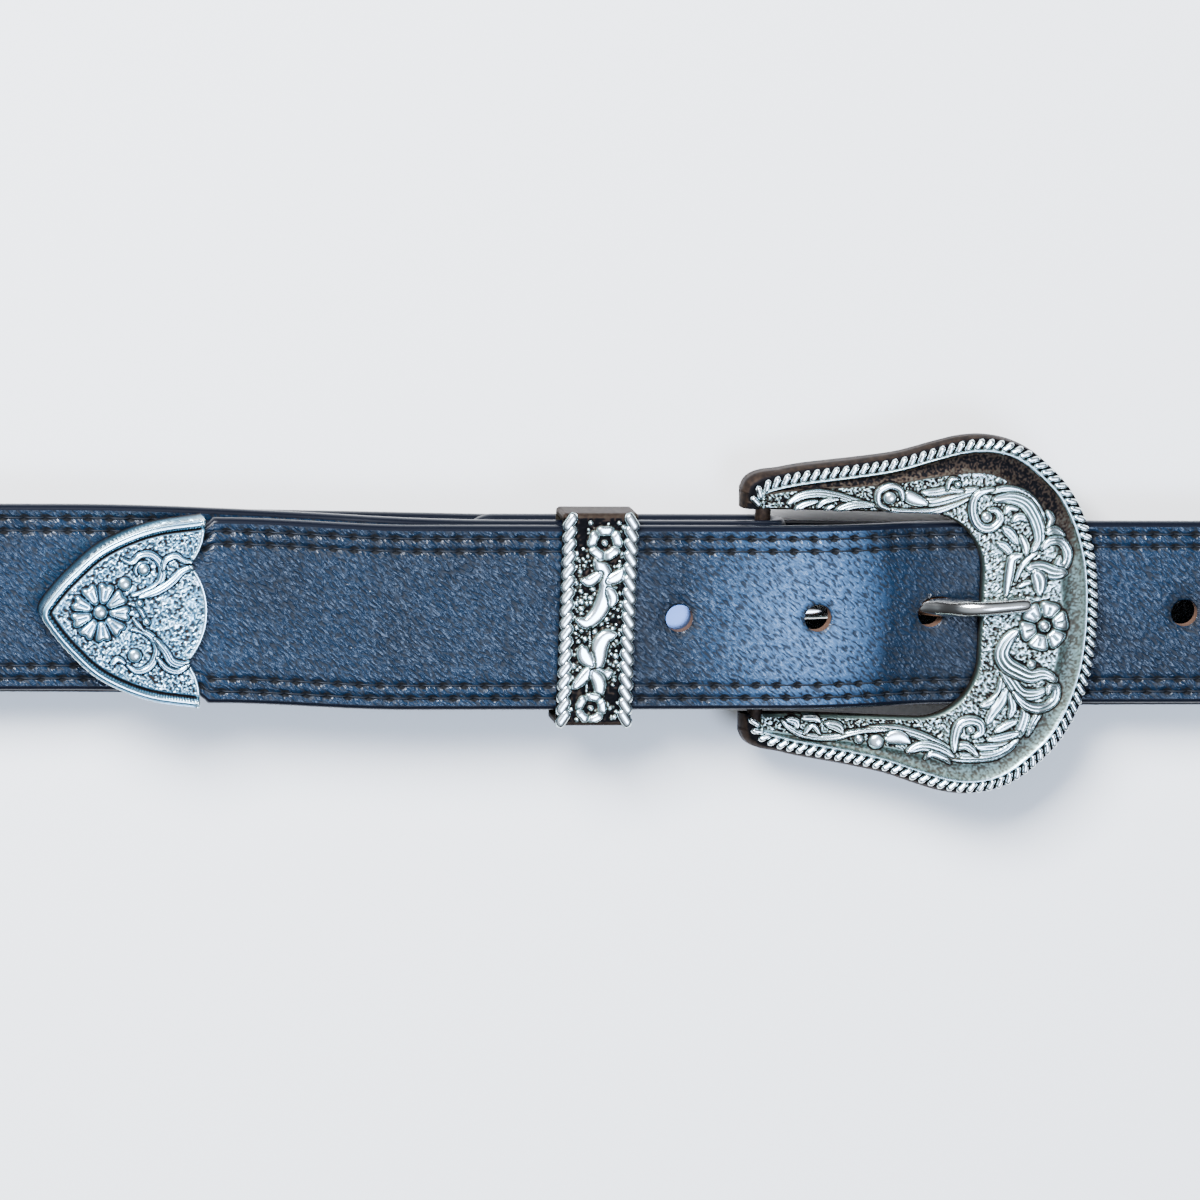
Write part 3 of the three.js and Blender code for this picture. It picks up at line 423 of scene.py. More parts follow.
grain_sum = add_node(tree, "ShaderNodeMath", {"operation": "MULTIPLY_ADD"},
                     (pores, 0.3, wrinkles)).outputs[0]
# The dips of the sewn rows and round the punched holes are coloured darker (#05070a), a painted shade.
valley, painted_dip_shade, painted_sheen, painted_shade = [
    add_node(tree, "ShaderNodeMapRange", {}, (value, *from_and_to)).outputs[0] for value, from_and_to in (
        (grain_sum, (0.68, 0.5, 0.0, 0.9)), (pinch, (0.18, 0.5, 0.0, 0.8)),
        (sheen_and_shade, (0.0, 1.0, 0.0, 0.7)), (sheen_and_shade, (0.0, -1.0, 0.0, 0.6)))]
# The needle-hole dots are coloured near-black (#020203): partly the black thread in them, partly painted
# shade inside the holes.
needle = needle_holes(tree, place)
colour = add_node(tree, "ShaderNodeValToRGB", {"stops": ((0.35, "#0a1826"), (0.68, "#0e2336"))},
                  (blotch,)).outputs[0]
# Of these, #54769c is a painted sheen and #0c131c a painted shade, from the light and dark patches set
# above.
for share, code in ((painted_sheen, "#54769c"), (painted_shade, "#0c131c"), (valley, "#070d15"),
                    (inner_side, "#101419"), (painted_dip_shade, "#05070a"), (needle, "#020203")):
    colour = add_node(tree, "ShaderNodeMix", {"data_type": "RGBA"},
                      {0: share, 6: colour, 7: linear(code)}).outputs[2]
tree.links.new(colour, shader.inputs["Base Color"])
dull = add_node(tree, "ShaderNodeMath", {"operation": "MULTIPLY_ADD"}, (valley, 0.45, 0.25)).outputs[0]
for value, share in ((sheen_and_shade, -0.09), (painted_dip_shade, 0.2), (needle, 0.5)):
    dull = add_node(tree, "ShaderNodeMath", {"operation": "MULTIPLY_ADD"}, (value, share, dull)).outputs[0]
rough = add_node(tree, "ShaderNodeMath", {"operation": "MAXIMUM"}, (dull, 0.16)).outputs[0]
tree.links.new(rough, shader.inputs["Roughness"])
grain_bump = add_node(tree, "ShaderNodeBump", {}, {"Strength": 1.0, "Distance": GRAIN_DEPTH * MM,
                                                   "Height": grain_sum}).outputs[0]
tree.links.new(grain_bump, shader.inputs["Normal"])
strap.data.materials.append(hide)

# Raw hole wall: the cut through the hide shows its tan, undyed fibre, dull and slightly fuzzy.
raw, tree, shader = new_material("raw_cut_leather", {"Roughness": 0.85})
fibre = add_node(tree, "ShaderNodeTexNoise", {}, {
    "Vector": add_node(tree, "ShaderNodeTexCoord").outputs["Object"], "Scale": 1 / (FIBRE_WIDTH * MM),
    "Detail": 4.0}).outputs[0]
tan = add_node(tree, "ShaderNodeValToRGB", {"stops": ((0, "#24150c"), (1, "#6b4a33"))}, (fibre,)).outputs[0]
tree.links.new(tan, shader.inputs["Base Color"])
strap.data.materials.append(raw)

# Edge paint: a black acrylic, brushed on and burnished, with only a faint shine.
EDGE_PAINT_REACH = 1.15
edge_coat = new_material("black_edge_paint", {"Base Color": linear("#080b14"), "Roughness": 0.3,
                                              "Specular IOR Level": 0.16})[0]
strap.data.materials.append(edge_coat)
at_edge = np.abs(column_v) > HALF - EDGE_PAINT_REACH
edge_face = at_edge & np.roll(at_edge, -1)
painted = np.concatenate((np.tile(edge_face, len(trace) - 1), np.ones(2 * len(column_v), bool)))
strap.data.polygons.foreach_set("material_index", np.where(painted, 2, 0).astype(np.int32))

# Stitches: bonded black polyester thread, lock-stitched by machine in two rows along each edge.
# Each stitch is a short tube of its own, pulled down into its needle holes on the face and back.
THREAD_RADIUS, THREAD_FLAT = 0.2, 0.9
STITCH_RINGS, STITCH_SIDES = 6, 6
FIRST_STITCH, STITCHES_LEFT_OFF = 2, 5
LINING_SINK = 0.6


def trace_at(s):
    """The middle line's x, z and heading at given lengths."""
    return [np.interp(s, trace[:, 0], trace[:, column]) for column in (1, 2, 3)]


def strap_places(s, v, out):
    """Points at given lengths, places across and heights over the strap's middle line."""
    x, z, heading = trace_at(s)
    across = drift_at(s, x) + v * half_width_at(s, x) / HALF
    return np.stack((x - np.sin(heading) * out, across, z + np.cos(heading) * out), axis=-1)


stitch_tubes = []
run = np.linspace(0, 1, STITCH_RINGS)[:, None]
turn = np.linspace(0, 2 * np.pi, STITCH_SIDES, endpoint=False)[None, :]
sink = CHANNEL_DEPTH + NEEDLE_DEPTH * (2 * run - 1) ** 6
for row, offset in zip(STITCH_ROWS, ROW_LAGS):
    for side in (1, -1):
        lag = (offset if side < 0 else UPPER_LAG_SHARE * offset) * STITCH_PITCH
        for hole in range(FIRST_STITCH, int(trace[-1, 0] / STITCH_PITCH) - STITCHES_LEFT_OFF):
            for face, sunk in ((-1, 1), (1, LINING_SINK)):
                s = hole * STITCH_PITCH - lag + run * STITCH_PITCH + 0 * turn
                level = face * (LEATHER / 2 - sink * sunk + THREAD_RADIUS * np.sin(turn) * THREAD_FLAT)
                stitch_tubes.append(strap_places(s, side * row + THREAD_RADIUS * np.cos(turn), level))
stitches = tube_mesh("stitches", stitch_tubes)
thread = new_material("bonded_black_thread", {"Base Color": linear("#0a0f16"), "Roughness": 0.6,
                                              "Specular IOR Level": 0.3})[0]
stitches.data.materials.append(thread)
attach(stitches, "root")
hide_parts("strap")

# Prong: plain round bar, 4 mm at its root, looped round the buckle's bar, bent up through the
# hole and laid on the bow; nickel-plated brass, buffed to a mirror.
PRONG_PATH = [
    (36, 0, BAR_Z, 2), (46, 0.2, 13.7, 2), (57, 0.7, 13.4, 2), (64.8, 1.1, 14.0, 1.95),
    (70.2, 1.4, 17.1, 1.9), (74.6, 1.8, 20.4, 1.85), (79, 2.2, 21.9, 1.6), (84, 2.6, 21.9, 1.55),
    (87, 2.85, 21.8, 1.4), (87.8, 2.9, 21.7, 0.9),
]
PRONG_LOOP_RADIUS, PRONG_LOOP_WIDTH = 3.5, 5.2
SLOT_WIDTH, SLOT_START_X = 7.0, 24.0
HAZE_WIDTH = 5


def smooth_line(points, per_span=10):
    """Catmull-Rom curve through points of any number of coordinates."""
    p = np.asarray(points, float)
    p = np.concatenate(([2 * p[0] - p[1]], p, [2 * p[-1] - p[-2]]))
    t = np.linspace(0, 1, per_span, endpoint=False)[:, None]
    spans = []
    for a, b, c, d in zip(p[:-3], p[1:-2], p[2:-1], p[3:]):
        spans.append(0.5 * (2 * b + (c - a) * t + (2 * a - 5 * b + 4 * c - d) * t ** 2
                            + (3 * b - a - 3 * c + d) * t ** 3))
    return np.concatenate((*spans, p[-2:-1]))


def rod_rings(path, sides=24, growth=0.0, flat=1.0, per_span=8):
    """Rings round a curved rod whose rows hold x, y, z and radius."""
    line = smooth_line(path, per_span)
    along = np.gradient(line[:, :3], axis=0)
    along /= np.linalg.norm(along, axis=1)[:, None]
    side = np.column_stack((-along[:, 1], along[:, 0], np.zeros(len(line))))
    side /= np.linalg.norm(side, axis=1)[:, None]
    up = np.cross(along, side)
    angle = np.linspace(0, 2 * np.pi, sides, endpoint=False)
    radius = (line[:, 3] + growth)[:, None, None]
    return line[:, None, :3] + radius * (np.cos(angle)[None, :, None] * side[:, None, :]
                                         + flat * np.sin(angle)[None, :, None] * up[:, None, :])


def cylinder(name, radius, length, centre, axis="Z", sides=48):
    """A plain round solid, used as a cutter and as a base for turned pieces."""
    angle = np.linspace(0, 2 * np.pi, sides, endpoint=False)
    ring = np.column_stack((np.cos(angle), np.sin(angle), np.zeros(sides))) * radius
    rings = np.stack([ring + (0, 0, h) for h in (-length / 2, length / 2)])
    if axis == "Y":
        rings = rings[..., [0, 2, 1]]
    return tube_mesh(name, [rings + np.array(centre, float)], False)


def cut(thing, cutter, operation="DIFFERENCE"):
    """Boolean with a cutter that is then thrown away."""
    step = thing.modifiers.new("cut", "BOOLEAN")
    step.object = cutter
    step.operation = operation
    step.solver = "EXACT"
    step.material_mode = "TRANSFER"
    depsgraph = bpy.context.evaluated_depsgraph_get()
    cut_mesh = bpy.data.meshes.new_from_object(thing.evaluated_get(depsgraph))
    thing.modifiers.clear()
    old = thing.data
    thing.data = cut_mesh
    cut_mesh.name = old.name
    bpy.data.meshes.remove(old)
    bpy.data.objects.remove(cutter)


cutters = []
for offset in HOLES_FROM_PRONG:
    x, z, heading = trace_at(prong_hole_s - offset)
    place = Vector((x, float(drift_at(prong_hole_s - offset, x)), z)) * MM
    tool = cylinder("hole_punch", HOLE_RADIUS, LEATHER + 3, (0, 0, 0))
    tool.data.transform(Matrix.Translation(place) @ Matrix.Rotation(math.pi - heading, 4, "Y"))
    cutters.append(tool)
shank_cutter = tube_mesh("shank_room", [rod_rings(PRONG_PATH, 24, GAP)])
slot_box = cylinder("slot_tool", 1, 1, (0, 0, 0), sides=4)
SNAP_XS = (16.4, -18.0)
SNAP_CAP_RADIUS, SNAP_HOLE_RADIUS, SNAP_CAP_THICKNESS = 5.8, 2.2, 0.8
layer_top = FRONT_Z + LEATHER / 2
for x in SNAP_XS:
    cutters.append(cylinder("snap_hole", SNAP_HOLE_RADIUS, 12, (x, 0, layer_top + GAP / 2 - 6)))
    recess = SNAP_CAP_THICKNESS + 1.5 * GAP
    cutters.append(cylinder("snap_recess", SNAP_CAP_RADIUS + GAP, recess,
                            (x, 0, layer_top + GAP / 2 - recess / 2)))
slot_low, slot_high = TURN_BACK_Z - LEATHER, layer_top + GAP / 2
slot_length = BAR_X + 2 * FOLD_RADIUS - SLOT_START_X
slot_box.data.transform(Matrix.Rotation(math.radians(45), 4, "Z"))
slot_box.data.transform(Matrix.Diagonal((slot_length / math.sqrt(2), SLOT_WIDTH / math.sqrt(2),
                                         slot_high - slot_low, 1)))
slot_box.data.transform(Matrix.Translation(Vector((SLOT_START_X + slot_length / 2, 0,
                                                   (slot_low + slot_high) / 2)) * MM))
for tool in [*cutters, shank_cutter, slot_box]:
    tool.data.materials.clear()
    tool.data.materials.append(raw)
    cut(strap, tool)
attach(strap, "root")
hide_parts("strap")

shank = tube_mesh("prong_bar", [rod_rings(PRONG_PATH, 28, 0.0, 0.94, 10)])
prong = cylinder("prong_polished", PRONG_LOOP_RADIUS, PRONG_LOOP_WIDTH, (BAR_X, 0, BAR_Z), "Y", 40)
cut(prong, shank, "UNION")
cut(prong, cylinder("bar_room", BAR_RADIUS + GAP, PRONG_LOOP_WIDTH + 2, (BAR_X, 0, BAR_Z), "Y", 40))
prong.data.polygons.foreach_set("use_smooth", np.ones(len(prong.data.polygons), bool))
nickel, tree, shader = new_material("buffed_nickel_plate",
                                    {"Base Color": linear("#d4d2cc"), "Metallic": 1.0})
haze = add_node(tree, "ShaderNodeTexNoise", {}, {
    "Vector": add_node(tree, "ShaderNodeTexCoord").outputs["Object"], "Scale": 1 / (HAZE_WIDTH * MM),
    "Detail": 3.0}).outputs[0]
buffed = add_node(tree, "ShaderNodeMapRange", {}, (haze, 0.0, 1.0, 0.08, 0.2)).outputs[0]
tree.links.new(buffed, shader.inputs["Roughness"])
prong.data.materials.clear()
prong.data.materials.append(nickel)
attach(prong, "root")
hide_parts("prong")

# Buckle frame: a heavy zinc casting, plated in silver, blackened and then rubbed back so that the
# patina stays in the hollows. A twisted rope edges it; scrolls of acanthus stand on a punched
# ground beside the opening, with a smooth hollow channel between them and the rope.
FRAME_UNDER_LEG, FRAME_UNDER_BOW = 12.4, 16.8
FRAME_RAMP = (31, 78)
FRAME_THICKNESS = 3.2
OPENING_HALF, OPENING_LEFT_X, OPENING_RIGHT_X, OPENING_CORNER = 21.3, 30.7, 78.2, 12.5
FRAME_OUTLINE = [
    (31.0, 24.4), (31.8, 26.1), (33.8, 27.3), (36.6, 28.1), (41.6, 29.2), (51.5, 30.7), (60, 32.3),
    (67.4, 34.6), (73, 36.1), (78, 36.6), (83, 35.9), (87.6, 33.8), (92.1, 30.1), (96, 25.8),
    (99.3, 19.6), (101.5, 12.4), (102.4, 5.6), (102.6, 0),
]
MOAT, MOAT_DEPTH = 0.34, 0.3
HIDDEN_TONE, SPOT_WIDTH = 0.12, 1.1


class Relief:
    """Cast ornament on a plane: height in millimetres, brightness and roughness at each point."""

    def __init__(self, points, height, tone, stipple):
        self.points = points
        self.base = height
        self.height = height.copy()
        self.tone = tone.copy()
        self.stipple = stipple.copy()

    def lay(self, index, edge, profile, tone):
        """Sets a motif on what lies there, inside a dark moat that sets it off."""
        inside = edge < 0
        on = index[inside]
        self.height[on] = self.base[on] + profile[inside]
        self.tone[on] = tone[inside]
        self.stipple[on] = 0
        moat = ~inside & (edge < MOAT)
        beside = index[moat]
        sink = 1 - edge[moat] / MOAT
        self.height[beside] -= MOAT_DEPTH * sink
        self.tone[beside] *= 1 - sink ** 0.4
        self.stipple[beside] *= 1 - sink

    def near(self, low, high):
        far = np.any((self.points < low) | (self.points > high), axis=1)
        return np.flatnonzero(~far)

    def stroke(self, width, height, veins, path):
        """A leaf blade along a path, thin at its start and end, with veins cut into it."""
        line = smooth_line(path, 10)
        t = np.linspace(0, 1, len(line))
        half = width / 2 * (0.38 + 0.62 * np.sin(np.pi * t ** 0.85) ** 0.6)
        reach = width / 2 + MOAT
        index = self.near(line.min(axis=0) - reach, line.max(axis=0) + reach)
        offset = self.points[index][:, None] - line[None]
        away = np.hypot(offset[..., 0], offset[..., 1])
        closest = away.argmin(axis=1)
        row = np.arange(len(index))
        distance, blade = away[row, closest], half[closest]
        along = np.gradient(line, axis=0)
        along /= np.linalg.norm(along, axis=1)[:, None]
        gap, way = offset[row, closest], along[closest]
        side = (way[:, 0] * gap[:, 1] - way[:, 1] * gap[:, 0]) / blade
        ratio = distance / blade
        cut_places = {0: (), 1: (0.0,), 2: (-0.36, 0.36)}[veins]
        crease = sum((np.exp(-((side - place) / 0.13) ** 2) for place in cut_places), np.zeros(len(index)))
        crease *= (smooth_step(t * 5) * smooth_step((1 - t) * 5))[closest]
        profile = height * (np.sqrt(np.clip(1 - ratio ** 3, 0, 1)) - 0.3 * crease)
        tone = 1 - 0.75 * np.clip(ratio, 0, 1) ** 7 - 0.8 * crease
        self.lay(index, distance - blade, profile, np.clip(tone, 0, 1))

    def ball(self, x, y, radius, height=0.8):
        index = self.near((x - radius - MOAT, y - radius - MOAT), (x + radius + MOAT, y + radius + MOAT))
        ratio = np.hypot(*(self.points[index] - (x, y)).T) / radius
        profile = height * np.sqrt(np.clip(1 - 0.85 * ratio ** 2, 0, 1))
        self.lay(index, (ratio - 1) * radius, profile, np.clip(1 - 0.6 * ratio ** 5, 0, 1))

    def petals(self, x, y, reach, count, angle, height, spread=0.94, notch=0.1, dash=0.0):
        """A ring of petals between two radii, each notched at its end."""
        low, high = reach
        index = self.near((x - high - 1, y - high - 1), (x + high + 1, y + high + 1))
        offset = self.points[index] - (x, y)
        radius = np.hypot(*offset.T)
        turn = (np.arctan2(offset[:, 1], offset[:, 0]) - math.radians(angle)) * count / (2 * math.pi)
        place = (turn - np.round(turn)) * 2
        end = high * (1 - notch * np.exp(-(place / 0.25) ** 2))
        middle, half = (low + end) / 2, (end - low) / 2
        shape = (np.abs(place / spread) ** 5 + np.abs((radius - middle) / half) ** 5) ** 0.2
        size = np.minimum(half, radius * spread * math.pi / count)
        across = place * radius * math.pi / count
        cut_line = dash * np.exp(-(across / 0.16) ** 2) * (np.abs(radius / high - 0.62) < 0.16)
        tone = np.clip(1 - 0.75 * shape ** 8 - 0.8 * cut_line, 0, 1)
        swell = np.sqrt(np.clip(1 - shape ** 4, 0, 1)) * (0.7 + 0.3 * radius / high)
        self.lay(index, (shape - 1) * size, height * (swell - 0.2 * cut_line), tone)

    def punch(self, depth, seed, size):
        """Matting of the ground, as random pits and bright points of a given size."""
        cells = np.random.default_rng(seed).random((512, 512))
        place = self.points / size
        low = np.floor(place).astype(int)
        part = place - low
        (i, j), (k, m) = (low % 512).T, ((low + 1) % 512).T
        left = cells[i, j] + (cells[i, m] - cells[i, j]) * part[:, 1]
        right = cells[k, j] + (cells[k, m] - cells[k, j]) * part[:, 1]
        grain = np.clip(0.5 + 1.7 * (left + (right - left) * part[:, 0] - 0.5), 0, 1)
        self.height += self.stipple * depth * (grain - 0.5)
        self.tone = np.clip(self.tone + self.stipple * 0.95 * (grain - 0.5), 0, 1)


def even_line(line, count):
    """The same line with points at even steps."""
    steps = np.concatenate(([0], np.cumsum(np.linalg.norm(np.diff(line, axis=0), axis=1))))
    wanted = np.linspace(0, steps[-1], count)
    return np.column_stack([np.interp(wanted, steps, column) for column in line.T])


def mirror_down(half_line):
    return np.array(list(half_line) + [(x, -y) for x, y in half_line[-2::-1]], float)


def give_tones(thing, tones):
    """Stores each point's brightness, for the patina."""
    made = thing.data.attributes.new("tone", "FLOAT", "POINT")
    made.data.foreach_set("value", np.clip(tones, 0, 1).astype(np.float32))


def rope_edge(name, line, pitch, width, height, slant, fullness, tilt=1):
    """Slanted rounded strands along a line of x, y, z points, as one closed lump for each."""
    length = np.linalg.norm(np.diff(line, axis=0), axis=1).sum()
    count = max(2, round(length / pitch))
    middle = even_line(line, 2 * count + 1)[1::2]
    way = np.gradient(even_line(line, 2 * count + 1), axis=0)[1::2, :2]
    way /= np.linalg.norm(way, axis=1)[:, None]
    reach, blade = width / 2 / math.sin(slant), fullness * pitch * math.sin(slant)
    levels = np.linspace(-1, 1, 9)
    sides = np.linspace(0, 2 * np.pi, 10, endpoint=False)
    strands, tones = [], []
    for centre, (cx, cy) in zip(middle, way):
        turn = math.atan2(cy, cx) + tilt * slant
        run, side = np.array((math.cos(turn), math.sin(turn))), np.array((-math.sin(turn), math.cos(turn)))
        swell = np.sqrt(1 - 0.93 * levels ** 6)
        bend = 0.16 * pitch * np.sin(levels * np.pi / 2) * tilt
        ring_y = blade * np.outer(swell, np.cos(sides))
        ring_z = height * np.outer(swell, np.sin(sides))
        plane = (centre[:2] + (levels * reach)[:, None, None] * run
                 + (ring_y - bend[:, None])[..., None] * side)
        strands.append(np.concatenate((plane, (centre[2] + ring_z)[..., None]), axis=-1))
        lift = np.outer(swell, np.sin(sides)).ravel()
        tones.append(np.concatenate((0.04 + 1.0 * smooth_step(lift / 0.35), [0.1, 0.1])))
    made = tube_mesh(name, strands)
    give_tones(made, np.concatenate(tones))
    return made


# The rubbed silver is bright and fairly smooth; the sulphide in the hollows is brown-black and dull.
silver, tree, shader = new_material("antiqued_silver_plate", {})
brightness = add_node(tree, "ShaderNodeAttribute", {"attribute_name": "tone"}).outputs["Fac"]
spots = add_node(tree, "ShaderNodeTexNoise", {}, {
    "Vector": add_node(tree, "ShaderNodeTexCoord").outputs["Object"], "Scale": 1 / (SPOT_WIDTH * MM),
    "Detail": 4.0}).outputs[0]
worn = add_node(tree, "ShaderNodeMath", {"operation": "MULTIPLY_ADD"}, (spots, 0.16, -0.08)).outputs[0]
worn = add_node(tree, "ShaderNodeMath", {"operation": "ADD", "use_clamp": True},
                (worn, brightness)).outputs[0]
patina = add_node(tree, "ShaderNodeValToRGB", {"stops": (
    (0, "#070709"), (0.07, "#0e0d0f"), (0.14, "#32271f"), (0.3, "#43433a"), (0.5, "#71877f"),
    (0.75, "#c2dade"), (1, "#f2fbfc"))}, (worn,)).outputs[0]
tree.links.new(patina, shader.inputs["Base Color"])
for socket, dark, rubbed in (("Metallic", 0.92, 1.0), ("Roughness", 0.7, 0.16)):
    ranged = add_node(tree, "ShaderNodeMapRange", {}, (worn, 0.0, 1.0, dark, rubbed)).outputs[0]
    tree.links.new(ranged, shader.inputs[socket])


def frame_under(x):
    ramp = smooth_step((x - FRAME_RAMP[0]) / (FRAME_RAMP[1] - FRAME_RAMP[0]))
    return FRAME_UNDER_LEG + (FRAME_UNDER_BOW - FRAME_UNDER_LEG) * ramp


def opening_point(part):
    """A point on the opening's upper half, from the leg's end to the middle of the bow."""
    straight = OPENING_RIGHT_X - OPENING_CORNER - OPENING_LEFT_X
    rise = OPENING_HALF - OPENING_CORNER
    turn = math.pi / 2 * OPENING_CORNER
    d = part * (straight + turn + rise)
    angle = math.pi / 2 - np.clip(d - straight, 0, turn) / OPENING_CORNER
    x = OPENING_LEFT_X + np.minimum(d, straight) + OPENING_CORNER * np.cos(angle)
    y = rise + OPENING_CORNER * np.sin(angle) - np.clip(d - straight - turn, 0, None)
    return x, y


FRAME_ROWS, FRAME_COLUMNS = 980, 94
LEG_SKEW, LEG_SKEW_END_X, LEG_SKEW_RUN = 0.035, 62.0, 30.0
ROPE_WIDTH, ROPE_PITCH, ROPE_HEIGHT = 2.6, 2.0, 0.9
ROPE_BED, ROPE_SINK, CHANNEL_SINK, CHANNEL_START = 2.1, 0.5, 0.55, 2.6
BEAD_AT, BEAD_WIDTH, BEAD_HEIGHT = 2.45, 0.22, 0.3
END_ROPE_X, END_BEAD_X, END_BEAD_HALF = 33.2, 33.5, 25.4
PATINA_TONE, BEAD_TONE = 0.03, 0.75
outer_line = even_line(smooth_line(mirror_down(FRAME_OUTLINE), 16), FRAME_ROWS)
row_part = np.linspace(0, 2, FRAME_ROWS)
half_part = np.where(row_part <= 1, row_part, 2 - row_part)
inner_part = np.interp(half_part, (0, 0.42, 0.81, 1), (0, 0.552, 0.861, 1))
inner_x, inner_y = opening_point(inner_part)
inner_line = np.column_stack((inner_x, np.where(row_part <= 1, inner_y, -inner_y)))
across = inner_line - outer_line
wide = np.linalg.norm(across, axis=1)
share = np.linspace(0, 1, FRAME_COLUMNS)
bed = outer_line[:, None] + share[None, :, None] * across[:, None]
inward = share[None, :] * wide[:, None]
channel_end = np.minimum(0.45 * wide, 7.5)[:, None]
in_channel = np.clip((inward - CHANNEL_START) / (channel_end - CHANNEL_START), 0, 1)
bed_height = -CHANNEL_SINK * np.sin(np.pi * in_channel) - ROPE_SINK * (inward < ROPE_BED)
bed_height += BEAD_HEIGHT * np.exp(-((inward - BEAD_AT) / BEAD_WIDTH) ** 2)
bed_height -= 0.45 * smooth_step((inward - wide[:, None] + 0.5) / 0.5)
punched = smooth_step((inward - channel_end - 0.2) / 0.3) * (inward < wide[:, None] - 0.45)
shaded = 0.25 * smooth_step((bed[..., 1] - 8) / 18)
bed_tone = np.where(inward < ROPE_BED, PATINA_TONE, 0.42 - shaded - 0.1 * np.sin(np.pi * in_channel))
bed_tone = np.where(np.abs(inward - BEAD_AT) < 0.3, BEAD_TONE, bed_tone)
ground = 0.34 + 0.2 * smooth_step((bed[..., 0] - 62) / 12)
bed_tone = np.where(punched > 0.3, ground, bed_tone)
under_end_rope = bed[..., 0] < END_ROPE_X
bed_tone = np.where(under_end_rope, PATINA_TONE, bed_tone)
bed_height = np.where(under_end_rope, -ROPE_SINK, bed_height)
punched = np.where(under_end_rope, 0, punched)
end_bead = np.exp(-((bed[..., 0] - END_BEAD_X) / BEAD_WIDTH) ** 2) * (np.abs(bed[..., 1]) < END_BEAD_HALF)
bed_height += BEAD_HEIGHT * end_bead
bed_tone = np.where(end_bead > 0.3, BEAD_TONE, bed_tone)
punched = np.maximum(punched, 0.2 * (in_channel > 0) * (in_channel < 1))
relief = Relief(bed.reshape(-1, 2), bed_height.ravel(), bed_tone.ravel(), punched.ravel())

